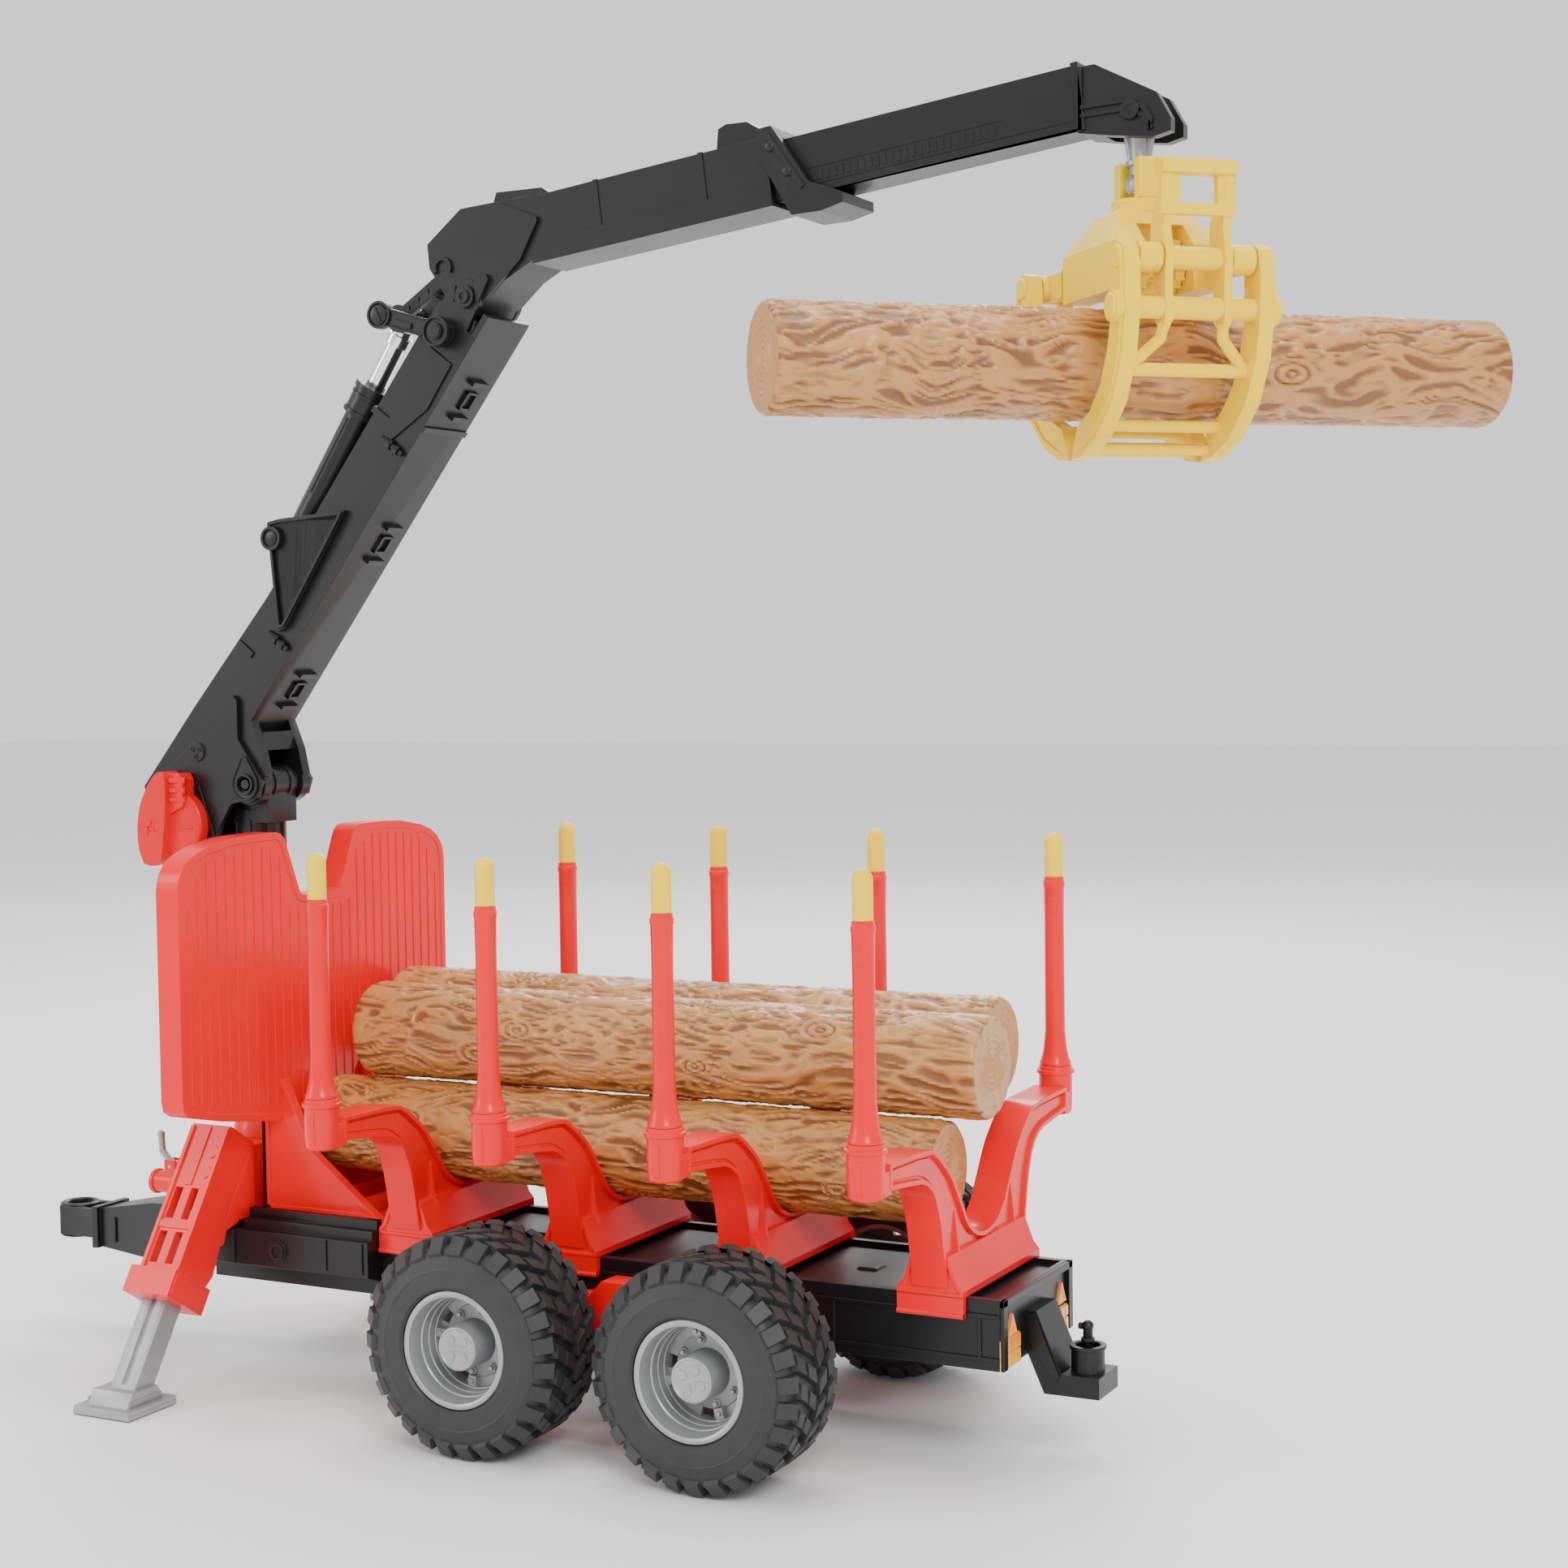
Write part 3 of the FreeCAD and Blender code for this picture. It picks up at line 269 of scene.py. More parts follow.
def plated_rod():
    """Bright plated rod with fine marks round it."""
    f = Finish("plated_rod")
    lines = f.noise(0.5, 3.0, (0.6, 0.1, 0.6))
    tint = f.blend(lines, (0.72, 0.74, 0.77), (0.86, 0.87, 0.88))
    return f.done(Base_Color=tint, Roughness=0.10 + lines * 0.10, Metallic=1.0,
                  Normal=f.bump(lines, 0.01, 0.4))


def log_bark(raised, groove):
    """Log moulding: grooves darkened as painted shade, golden raised bark lightened as a painted highlight, and brown
    clouds, led by the relief attribute.
    """
    f = Finish("log_bark")
    relief = f.node("ShaderNodeAttribute", {"attribute_name": "relief"}, output=2)
    cloud = f.noise(11.0, 4.0)
    fine = f.noise(0.5, 4.0, (0.25, 1.0, 1.0))
    low = f.blend(cloud, shaded(groove, 0.75), shaded(groove, 1.35))
    high = f.blend(cloud, shaded(raised, 0.86), shaded(raised, 1.16))
    # Low relief (grooves, sunken end rings) gets the dark groove colour as painted shade; high relief (ridges) gets the
    # lighter bark colour as a painted highlight.
    curve = f.node("ShaderNodeValToRGB", {"stops": [(0.05, (0, 0, 0)), (0.62, (1, 1, 1))]}, {0: relief})
    tint = f.blend(curve, low, high)
    return f.done(Base_Color=tint, Roughness=0.40 + (cloud - 0.5) * 0.14 - relief * 0.08,
                  Coat_Weight=0.12 + relief * 0.1, Coat_Roughness=0.3, Normal=f.bump(fine, 0.10, 0.6))


def reflector(name, low, high, height):
    """Reflector plastic that turns from one colour to another up to a height, over small prisms."""
    f = Finish(name)
    place = f.node("ShaderNodeSeparateXYZ", {}, {0: f.place()}, output=2)
    level = (place - (height - 6.0)) * (1 / 12.0)
    prisms = f.node("ShaderNodeTexVoronoi", {}, {"Vector": f.place(), "Scale": 1.1})
    tint = f.blend(level, low, high)
    return f.done(Base_Color=tint, Roughness=0.16 + prisms * 0.15, Coat_Weight=0.5, Normal=f.bump(prisms, 0.12, 0.6))


def floor_finish():
    """Pale studio floor."""
    f = Finish("studio_floor")
    cloud = f.noise(400.0, 2.0)
    tint = f.blend(cloud, (0.86, 0.86, 0.86), (0.90, 0.90, 0.90))
    return f.done(Base_Color=tint, Roughness=0.6 + cloud * 0.1)


FINISHES = {}


def mix_finishes(colours):
    """Make every finish of the trailer."""
    FINISHES["red_plastic"] = moulded_plastic("red_plastic", tuple(colours.red), 0.26, 0.24, 0.08)
    FINISHES["knob_red"] = moulded_plastic("knob_red", shaded(colours.red, 0.85), 0.34, 0.24, 0.05)
    FINISHES["black_plastic"] = moulded_plastic("black_plastic", tuple(colours.black), 0.36, 0.34, 0.05, 0.25)
    FINISHES["yellow_plastic"] = moulded_plastic("yellow_plastic", tuple(colours.yellow), 0.34, 0.16, 0.05, 0.03)
    FINISHES["silver_plastic"] = silver_plastic(tuple(colours.silver))
    FINISHES["tyre_rubber"] = tyre_rubber(tuple(colours.rubber))
    FINISHES["chrome"] = plated_rod()
    # Bark colours: the groove colour is painted shade, the raised colour carries a painted highlight.
    FINISHES["log_brown"] = log_bark(tuple(colours.log), tuple(colours.log_groove_shade))
    FINISHES["reflector_orange"] = reflector("reflector_plate", (0.95, 0.55, 0.02), (0.95, 0.10, 0.01), 42.0)
    FINISHES["reflector_triangle"] = reflector("reflector_triangle", (0.95, 0.35, 0.02), (0.85, 0.02, 0.01), 51.0)


def dress_frame():
    """Give every frame node the finish of its slot."""
    for entry in frame["record"]["subparts"]:
        node = frame["nodes"][entry["node"]]
        node.data.materials.clear()
        node.data.materials.append(FINISHES[entry["material_slot"]])


# ---------------------------------------------------------------- modelling
def basis(start, end):
    """Matrix whose Z runs from start to end and whose origin is half-way."""
    start = Vector(start)
    end = Vector(end)
    turn = (end - start).to_track_quat("Z", "Y").to_matrix().to_4x4()
    return Matrix.Translation((start + end) / 2) @ turn


class Moulding:
    """One piece in the making, in the drawing's millimetres."""

    def __init__(self, *nodes):
        self.bm = bmesh.new()
        for node in nodes:
            self.carry(node)

    def carry(self, node):
        """Start from a copy of a frame node, merged and with its flat faces whole."""
        part = bmesh.new()
        part.from_mesh(frame["nodes"][node].data)
        part.transform(TO_MM)
        bmesh.ops.remove_doubles(part, verts=part.verts[:], dist=0.003)
        bmesh.ops.dissolve_limit(part, angle_limit=math.radians(0.4), verts=part.verts[:], edges=part.edges[:])
        self.absorb(part)

    def absorb(self, part, matrix=None, flip=False):
        """Add another bmesh to this piece, moved by a matrix."""
        if matrix is not None:
            part.transform(matrix)
        if flip:
            bmesh.ops.reverse_faces(part, faces=part.faces[:])
        mesh = bpy.data.meshes.new("part")
        part.to_mesh(mesh)
        part.free()
        self.bm.from_mesh(mesh)
        bpy.data.meshes.remove(mesh)

    def block(self, low, high, taper=None):
        """Box between two corners; taper scales its top face."""
        low = Vector(low)
        high = Vector(high)
        size = Matrix.Diagonal((*(high - low), 1))
        made = bmesh.ops.create_cube(self.bm, size=1, matrix=Matrix.Translation((low + high) / 2) @ size)
        if taper:
            top = [v for v in made["verts"] if v.co.z > (low.z + high.z) / 2]
            centre = Matrix.Translation(-(low + high) / 2)
            bmesh.ops.scale(self.bm, verts=top, vec=(*taper, 1), space=centre)
        return made["verts"]

    def peg(self, start, end, radius, end_radius=None, steps=32):
        """Round peg or cone between two points."""
        length = (Vector(end) - Vector(start)).length
        made = bmesh.ops.create_cone(
            self.bm, cap_ends=True, segments=steps, radius1=radius,
            radius2=radius if end_radius is None else end_radius, depth=length, matrix=basis(start, end))
        return made["verts"]

    def across(self, x, z, y0, y1, radius, end_radius=None, steps=32):
        """Round peg along Y."""
        return self.peg((x, y0, z), (x, y1, z), radius, end_radius, steps)

    def ball(self, centre, radius, steps=20):
        """Ball."""
        made = bmesh.ops.create_uvsphere(self.bm, u_segments=steps, v_segments=steps // 2, radius=radius,
                                         matrix=Matrix.Translation(centre))
        return made["verts"]

    def sheet(self, points):
        """Flat face through points."""
        return self.bm.faces.new([self.bm.verts.new(p) for p in points])

    def plate(self, points, push):
        """Plate swept from an outline; gives its two faces, the start and the swept one."""
        face = self.sheet(points)
        made = bmesh.ops.extrude_face_region(self.bm, geom=[face], use_keep_orig=True)["geom"]
        moved = [g for g in made if isinstance(g, bmesh.types.BMVert)]
        bmesh.ops.translate(self.bm, verts=moved, vec=push)
        swept = [g for g in made if isinstance(g, bmesh.types.BMFace)][0]
        shell = {face, swept}
        for vert in moved:
            shell.update(vert.link_faces)
        bmesh.ops.recalc_face_normals(self.bm, faces=list(shell))
        return face, swept

    def panel(self, face, border, depth):
        """Sink (or raise, with a negative depth) the middle of a flat face inside a border."""
        bmesh.ops.inset_region(self.bm, faces=[face], thickness=border, use_even_offset=True)
        made = bmesh.ops.inset_region(self.bm, faces=[face], thickness=0.15, use_even_offset=True)
        bmesh.ops.translate(self.bm, verts=face.verts[:], vec=-depth * face.normal)
        return made["faces"]

    def turned(self, profile, centre, axis="Y", steps=64):
        """Turned shape: profile of (radius, along), swept round an axis through a centre."""
        part = bmesh.new()
        if axis == "Z":
            places = [(r, 0, a) for r, a in profile]
            about = (0, 0, 1)
        else:
            places = [(r, a, 0) for r, a in profile]
            about = (0, 1, 0)
        verts = [part.verts.new(p) for p in places]
        edges = [part.edges.new(pair) for pair in zip(verts, verts[1:])]
        bmesh.ops.spin(part, geom=verts + edges, cent=(0, 0, 0), axis=about, angle=2 * math.pi,
                       steps=steps, use_merge=True)
        bmesh.ops.remove_doubles(part, verts=part.verts[:], dist=0.001)
        bmesh.ops.recalc_face_normals(part, faces=part.faces[:])
        self.absorb(part, Matrix.Translation(centre))

    def moved(self, matrix):
        """Move the whole piece."""
        self.bm.transform(matrix)

    def finish(self, name, body, finish, replaces=(), edge=None, slot=None, sharp=30):
        """Make the object, round its edges, and fix it to its body."""
        mesh = bpy.data.meshes.new(name)
        self.bm.transform(TO_ROW)
        self.bm.to_mesh(mesh)
        self.bm.free()
        mesh.shade_smooth()
        mesh.set_sharp_from_angle(angle=math.radians(sharp))
        mesh.materials.append(FINISHES[finish])
        piece = bpy.data.objects.new(name, mesh)
        bpy.context.scene.collection.objects.link(piece)
        width = bpy.context.scene.trailer_sizes.edge if edge is None else edge * MM
        if width:
            rounding = piece.modifiers.new("edges", "BEVEL")
            rounding.width = width
            rounding.segments = 2
            rounding.profile = 0.5
            rounding.limit_method = "ANGLE"
            rounding.angle_limit = math.radians(sharp)
            rounding.use_clamp_overlap = False
            rounding.harden_normals = True
        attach(piece, body)
        if replaces:
            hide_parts(*replaces)
        return piece


def mirrored(points):
    """Points given on the +Y side, followed by their mirror images in reverse order."""
    return points + [(-y, z) for y, z in reversed(points)]


def along(points, x):
    """Outline of (y, z) points placed at an x."""
    return [(x, y, z) for y, z in points]


def beside(points, y):
    """Outline of (x, z) points placed at a y."""
    return [(x, y, z) for x, z in points]


def ring(centre_x, centre_z, radius, count, start=0.0):
    """(x, z) places on a circle."""
    step = 2 * math.pi / count
    return [(centre_x + radius * math.cos(start + i * step), centre_z + radius * math.sin(start + i * step))
            for i in range(count)]


# ---------------------------------------------------------------- wheels
def tyre_piece(sizes):
    """Tyre about the origin with its outer side towards -Y: casing, staggered lugs and one ring line."""
    piece = Moulding()
    top = 37.45
    base = top - 1000 * sizes.tread
    side = [(20.1, -16.9), (21.0, -17.9), (24.0, -17.9), (26.5, -17.75), (26.9, -17.95), (27.4, -17.7)]
    side += [(30.0, -17.2), (32.4, -16.3), (34.0, -14.6), (base - 0.4, -11.5), (base, -6.0)]
    outside = side + [(base, 0.0)] + [(r, -a) for r, a in reversed(side)]
    inside = [(20.1, 14.2), (31.0, 14.2), (33.4, 11.4), (33.4, -11.4), (31.0, -14.2), (20.1, -14.2), (20.1, -16.9)]
    piece.turned(outside + inside, (0, 0, 0), steps=96)
    pitch = 2 * math.pi / sizes.pitches
    # rows of lugs: middle along Y, length along Y, width round the tyre, skew, radial rise, share of a pitch
    rows = [(-14.7, 7.6, 6.3, -0.10, 0.0, 0.0), (-9.6, 5.0, 6.1, -0.55, 1.0, 0.42), (-3.5, 5.6, 5.7, -0.62, 1.0, 0.88)]
    for side_sign in (-1, 1):
        for middle_y, length, width, skew, rise, share in rows:
            y = middle_y * -side_sign
            for i in range(sizes.pitches):
                angle = pitch * (i + share + (0.5 if side_sign > 0 else 0.0))
                if rise:
                    lean = Matrix.Identity(4)
                    lean[0][1] = skew * side_sign
                    low, high = base - 1.4, top
                    shape = Matrix.Translation((0, y, (low + high) / 2)) @ lean @ Matrix.Diagonal((width, length, high - low, 1))
                else:
                    # the shoulder lug lies slantwise over the edge of the casing
                    slope = Matrix.Rotation(math.radians(-50 * side_sign), 4, "X")
                    shape = (Matrix.Translation((0, y, 34.1)) @ slope
                             @ Matrix.Diagonal((width, length, 2.5, 1)))
                turn = Matrix.Rotation(angle, 4, "Y")
                made = bmesh.ops.create_cube(piece.bm, size=1)["verts"]
                crest = [v for v in made if v.co.z > 0]
                bmesh.ops.scale(piece.bm, verts=crest, vec=(0.80, 0.86, 1))
                bmesh.ops.transform(piece.bm, verts=made, matrix=turn @ shape)
    return piece


def rim_piece():
    """Rim about the origin with its open side towards -Y: stepped dish, slotted disc, bolts and a hub cap."""
    piece = Moulding()
    dish = [(20.0, 16.9), (20.0, -16.2), (19.6, -17.0), (18.6, -17.3), (17.7, -16.9), (17.5, -15.6), (17.3, -15.2)]
    dish += [(17.1, -11.0), (16.6, -10.6), (16.5, -7.6), (16.1, -7.2), (15.9, -4.6), (15.5, -4.3), (15.4, -2.0)]
    dish += [(15.4, 0.5), (17.6, 0.5), (18.3, 16.9), (20.0, 16.9)]
    piece.turned(dish, (0, 0, 0), steps=72)
    hub = [(15.5, -2.2), (14.9, -2.5), (14.4, -1.8), (12.4, -1.8), (12.2, -2.4), (8.4, -2.9), (7.6, -3.3)]
    hub += [(7.5, -14.2), (7.2, -14.8), (6.6, -15.0), (6.3, -14.7), (0.0, -14.7)]
    back = [(0.0, -11.0), (3.05, -11.0), (3.05, 14.0), (8.0, 14.0), (8.0, 0.4), (15.5, 0.4)]
    # disc in four arcs with a window between them, then the full rings inside and outside
    piece.turned([(12.4, -1.8)] + hub[4:] + back[:5] + [(12.4, 0.4), (12.4, -1.8)], (0, 0, 0), steps=48)
    quarter = math.pi / 2
    gap = math.radians(9)
    for i in range(4):
        arc = [i * quarter + gap + k * (quarter - 2 * gap) / 10 for k in range(11)]
        outline = [(15.6 * math.cos(a), -1.9, 15.6 * math.sin(a)) for a in arc]
        outline += [(12.3 * math.cos(a), -1.9, 12.3 * math.sin(a)) for a in reversed(arc)]
        piece.plate(outline, (0, 2.2, 0))
        # nut block beside each window
        spot = Matrix.Rotation(-(i * quarter + gap + 0.24), 4, "Y")
        made = piece.block((11.8, -4.4, -1.5), (15.4, -1.5, 1.5))
        bmesh.ops.transform(piece.bm, verts=made, matrix=spot)
        made = piece.peg((13.5, -4.4, 0), (13.5, -5.3, 0), 1.0, 0.9, steps=6)
        bmesh.ops.transform(piece.bm, verts=made, matrix=spot)
    for x, z in ring(0, 0, 10.4, 8, math.radians(20)):
        piece.across(x, z, -2.4, -3.4, 1.45, 1.3, steps=20)
        piece.across(x, z, -3.4, -4.6, 1.0, 0.85, steps=6)
    # four raised lobes and a raised ring on the hub cap
    for i in range(4):
        spot = Matrix.Rotation(i * quarter + 0.3, 4, "Y")
        made = piece.across(3.7, 0, -14.6, -15.1, 1.7, 1.5, steps=16)
        bmesh.ops.transform(piece.bm, verts=made, matrix=spot)
        made = piece.block((1.2, -14.95, -0.45), (3.6, -14.6, 0.45))
        bmesh.ops.transform(piece.bm, verts=made, matrix=spot)
    return piece


class TRAILER_OT_wheels(bpy.types.Operator):
    """Build the four tyres and rims"""

    bl_idname = "trailer.wheels"
    bl_label = "Wheels"

    def execute(self, context):
        sizes = context.scene.trailer_sizes
        for end in ("front", "rear"):
            for label in ("near", "far"):
                place = f"{end}_{label}"
                outward = 1 if label == "near" else -1
                turn = Matrix.Identity(4) if outward > 0 else Matrix.Rotation(math.pi, 4, "Z")
                centre = Matrix.Translation(at("tyre_" + place))
                roll = Matrix.Rotation(0.5 if end == "front" else 0.1, 4, "Y")
                tyre = tyre_piece(sizes)
                tyre.moved(centre @ turn @ roll)
                tyre.finish("tyre_tread_" + place, "wheel_" + place, "tyre_rubber", ["tyre_" + place], 0.14)
                rim = rim_piece()
                rim.moved(centre @ turn @ roll)
                rim.finish("rim_disc_" + place, "wheel_" + place, "silver_plastic", ["rim_" + place], 0.12)
        return {"FINISHED"}


# ---------------------------------------------------------------- logs
def bark_height(x, angle, radius, seed):
    """Relief of the bark, 0 in a groove to 1 on a ridge, at a place along the log and round it."""
    spot = Vector((x, radius * math.cos(angle), radius * math.sin(angle)))
    shift = Vector((seed * 31.7, seed * 17.3, seed * 5.1))
    bend = noise.noise_vector(spot * 0.045 + shift)
    fine = noise.noise_vector(spot * 0.16 + shift * 2)
    warped = spot + Vector((bend.x * 8, bend.y * 6, bend.z * 6)) + fine * 0.7
    grain = Vector((warped.x * 0.030, warped.y * 0.26, warped.z * 0.26)) + shift
    ridge = 1.0 - min(1.0, 3.4 * abs(noise.noise(grain)))
    strands = Vector((warped.x * 0.040, warped.y * 0.36, warped.z * 0.36)) + shift * 3
    thread = 1.0 - min(1.0, 3.4 * abs(noise.noise(strands)))
    return max(ridge, 0.85 * thread) ** 1.1


def knot_pull(x, angle, knots, radius):
    """Height and weight of the rings round the knots near a place."""
    best = (0.0, 0.0)
    for knot_x, knot_angle, size in knots:
        turn = (angle - knot_angle + math.pi) % (2 * math.pi) - math.pi
        reach = math.hypot((x - knot_x) / 1.7, turn * radius) / size
        if reach < 1.6:
            weight = max(0.0, min(1.0, (1.6 - reach) / 0.7))
            if weight > best[1]:
                best = (0.5 + 0.5 * math.cos(reach * 11.0), weight)
    return best


def log_piece(seed, radius, length, bark):
    """Log along X about the origin: turned body with grown rings on its ends, then pushed into bark."""
    piece = Moulding()
    half = length / 2
    face_r = radius - 2.5
    ends = [(0.0, 0.0)]
    count = 15
    for i in range(1, count + 1):
        ends.append((face_r * i / count, 0.0))
    rounding = [(face_r + 2.5 * math.sin(a), 2.5 - 2.5 * math.cos(a)) for a in (0.4, 0.8, 1.2)]
    side_steps = int(length / 0.95)
    body = [(radius, 2.5 + i * (length - 5.0) / side_steps) for i in range(side_steps + 1)]
    left = [(r, a - half) for r, a in ends + rounding]
    right = [(r, half - a) for r, a in reversed(ends + rounding)]
    piece.turned(left + [(r, a - half) for r, a in body] + right, (0, 0, 0), steps=128)
    piece.moved(Matrix.Rotation(-math.pi / 2, 4, "Z"))
    layer = piece.bm.verts.layers.float.new("relief")
    dice = random.Random(seed)
    knots = [(dice.uniform(-0.8, 0.8) * half, dice.uniform(0, 2 * math.pi), dice.uniform(2.6, 4.2)) for _ in range(6)]
    for vert in piece.bm.verts:
        x, y, z = vert.co
        reach = math.hypot(y, z)
        angle = math.atan2(z, y)
        if reach > face_r + 0.3:
            height = bark_height(x, angle, radius, seed)
            rings, weight = knot_pull(x, angle, knots, radius)
            height = height * (1 - weight) + rings * weight
            keep = min(1.0, (half - abs(x)) / 2.5 + 0.15)
            drop = bark * (1 - height) * keep + 0.15 * noise.noise(vert.co * 0.12)
            factor = (reach + 0.1 - max(0.0, drop)) / max(reach, 0.001)
            vert.co = Vector((x, y * factor, z * factor))
            # The relief also sets the colour: painted shade in the grooves, painted highlight on the ridges.
            vert[layer] = height
        else:
            wobble = reach + 0.5 * noise.noise(Vector((y * 0.25, z * 0.25, seed)))
            rings = 0.5 + 0.5 * math.cos(wobble * 2 * math.pi / 2.1)
            sign = 1 if x > 0 else -1
            vert.co.x = x - sign * 0.55 * (1 - rings)
            # The sunken ring grooves on the log ends get low relief, so they take painted shade.
            vert[layer] = 0.35 + 0.65 * rings
    return piece


class TRAILER_OT_logs(bpy.types.Operator):
    """Build the four logs"""

    bl_idname = "trailer.logs"
    bl_label = "Logs"

    def execute(self, context):
        bark = 1000 * context.scene.trailer_sizes.bark
        low, high = span("low_log")
        radius = (high.z - low.z) / 2
        length = high.x - low.x
        places = (("held_log", "log_held", 45, 1), ("low_log", "log_low", 0, 2),
                  ("near_log", "log_near", 0, 3), ("far_log", "log_far", 0, 4))
        for node, body, turn, seed in places:
            piece = log_piece(seed, radius, length, bark)
            roll = Matrix.Rotation(seed * 1.9, 4, "X")
            piece.moved(Matrix.Translation(at(node)) @ Matrix.Rotation(math.radians(turn), 4, "Z") @ roll)
            piece.finish("bark_" + node, body, "log_brown", [node], 0)
        return {"FINISHED"}


# ---------------------------------------------------------------- bunks, stakes and headboard
BUNK_SIDE = [(33.5, 61), (35.2, 71.5), (38, 84), (42.6, 93.6), (49.6, 98), (61, 99.4), (75.5, 100.8),
             (75.5, 109), (44, 108.3), (38, 105), (31.5, 100), (27, 96), (22, 89), (18.5, 84)]
SADDLE_LOW = 73.0
SOCKET_HEIGHTS = (98.6, 113.0, 114.6, 116.0)


def saddle_arc(start, low, steps=12):
    """Round bottom of the U between a start point and its mirror image, through a lowest point."""
    y, z = start
    rise = z - low
    radius = (y * y + rise * rise) / (2 * rise)
    sweep = math.asin(y / radius)
    centre = low + radius
    return [(radius * math.sin(sweep - 2 * sweep * i / steps), centre - radius * math.cos(sweep - 2 * sweep * i / steps))
            for i in range(1, steps)]


def eased(points, rounds=2):
    """Outline with its corners cut twice, so that it runs in a soft curve."""
    for _ in range(rounds):
        cut = [points[0]]
        for a, b in zip(points, points[1:]):
            cut.append((a[0] * 0.78 + b[0] * 0.22, a[1] * 0.78 + b[1] * 0.22))
            cut.append((a[0] * 0.22 + b[0] * 0.78, a[1] * 0.22 + b[1] * 0.78))
        cut.append(points[-1])
        points = cut
    return points


def bunk_piece(x):
    """Log bunk: panelled U plate, ribbed splayed foot, lips and flanged sockets."""
    piece = Moulding()
    half = 6.15
    right = eased(BUNK_SIDE[:7], 1) + eased(BUNK_SIDE[7:], 1)
    outline = mirrored_bunk(right)
    near, far = piece.plate(along(outline, x - half), (2 * half, 0, 0))
    for face in (near, far):
        piece.panel(face, 1.5, 2.0)
        piece.panel(face, 0.9, -0.7)
    # splayed foot, its floor lips and the fins that run up from it
    foot = [(-11.7, 58), (11.7, 58), (11.7, 60.2), (9.6, 62.6), (half + 0.2, 71), (-half - 0.2, 71), (-9.6, 62.6), (-11.7, 60.2)]
    faces = piece.plate(beside([(x + a, z) for a, z in foot], -33.5), (0, 67, 0))
    for face in faces:
        piece.panel(face, 1.3, 0.9)
    for y in (-33.5, 31.0):
        piece.block((x - 11.7, y, 51.6), (x + 11.7, y + 2.5, 58.4))
        edge = -33.9 if y < 0 else 33.9
        piece.peg((x - 11.7, edge * 0.985, 52.2), (x + 11.7, edge * 0.985, 52.2), 0.9, steps=12)
    for y in (-24, -12, 0, 12, 24):
        for sign in (-1, 1):
            fin = [(x + sign * 11.0, 60), (x + sign * 9.2, 63.2), (x + sign * 6.6, 70.6), (x + sign * 5.2, 84), (x + sign * 3.8, 84), (x + sign * 3.8, 60)]
            if abs(y) < 13:
                fin = [(x + sign * 11.0, 60), (x + sign * 9.2, 63.2), (x + sign * 6.6, 70.6), (x + sign * 3.8, 72), (x + sign * 3.8, 60)]
            piece.plate(beside(fin, y - 0.6), (0, 1.2, 0))
    stake_y = (span("stakes")[1].y - span("stakes")[0].y) / 2 - 5.4
    low, flange, upper, top = SOCKET_HEIGHTS
    for y in (-stake_y, stake_y):
        cup = [(0, low), (5.2, low), (5.7, low + 0.6), (6.0, low + 4), (6.0, flange), (6.8, flange + 0.2)]
        cup += [(6.8, upper - 0.2), (6.0, upper), (6.0, top - 0.5), (5.6, top), (3.7, top), (3.7, low + 3), (0, low + 3)]
        piece.turned(cup, (x, y, 0), "Z", 40)
        sign = 1 if y > 0 else -1
        piece.block((x - 1.1, y + sign * 5.4 - 0.9, low + 2), (x + 1.1, y + sign * 5.4 + 0.9, flange - 2))
        piece.block((x - half + 0.2, min(y, y - sign * 5.9), low + 0.8), (x + half - 0.2, max(y, y - sign * 5.9), low + 8.4))
    return piece


def mirrored_bunk(right):
    """Closed outline of the bunk: right side upwards, the saddle, left side downwards."""
    saddle = saddle_arc(right[-1], SADDLE_LOW)
    return right + saddle + [(-y, z) for y, z in reversed(right)]


def stake_piece(x, y):
    """Tube stake with a flared foot, a neck ring and a small latch window near its top."""
    piece = Moulding()
    low, high = span("stakes")
    foot = SOCKET_HEIGHTS[3]
    top = high.z
    profile = [(0, foot - 13), (3.55, foot - 13), (3.55, foot), (5.6, foot + 0.1), (5.7, foot + 0.9), (5.1, foot + 2.2)]
    profile += [(4.3, foot + 5.5), (3.75, foot + 11), (3.6, foot + 13), (3.5, top - 16), (3.7, top - 3.6)]
    profile += [(3.9, top - 3.2), (3.9, top - 1.6), (3.55, top - 1.2), (3.55, top), (0, top)]
    piece.turned(profile, (x, y, 0), "Z", 36)
    for sign in (-1, 1):
        piece.block((x - 0.9, y + sign * 3.3 - 0.45, top - 8.5), (x + 0.9, y + sign * 3.3 + 0.45, top - 6.9))
        piece.block((x - 1.2, y + sign * 3.2 - 0.4, top - 13.8), (x + 1.2, y + sign * 3.2 + 0.4, top - 13.2))
    return piece


def cap_piece(x, y):
    """Bullet cap with a seam ring and a small nub on each side."""
    piece = Moulding()
    low, high = span("stake_caps")
    base, top, r = low.z, high.z, 3.25
    profile = [(0, base), (r - 0.25, base), (r, base + 0.4), (r, top - r)]
    profile += [(r * math.cos(a), top - r + r * math.sin(a)) for a in (0.35, 0.7, 1.05, 1.35)] + [(0, top)]
    piece.turned(profile, (x, y, 0), "Z", 36)
    for sign in (-1, 1):
        piece.block((x - 0.7, y + sign * 2.95 - 0.4, base + 0.8), (x + 0.7, y + sign * 2.95 + 0.4, base + 1.9))
    return piece


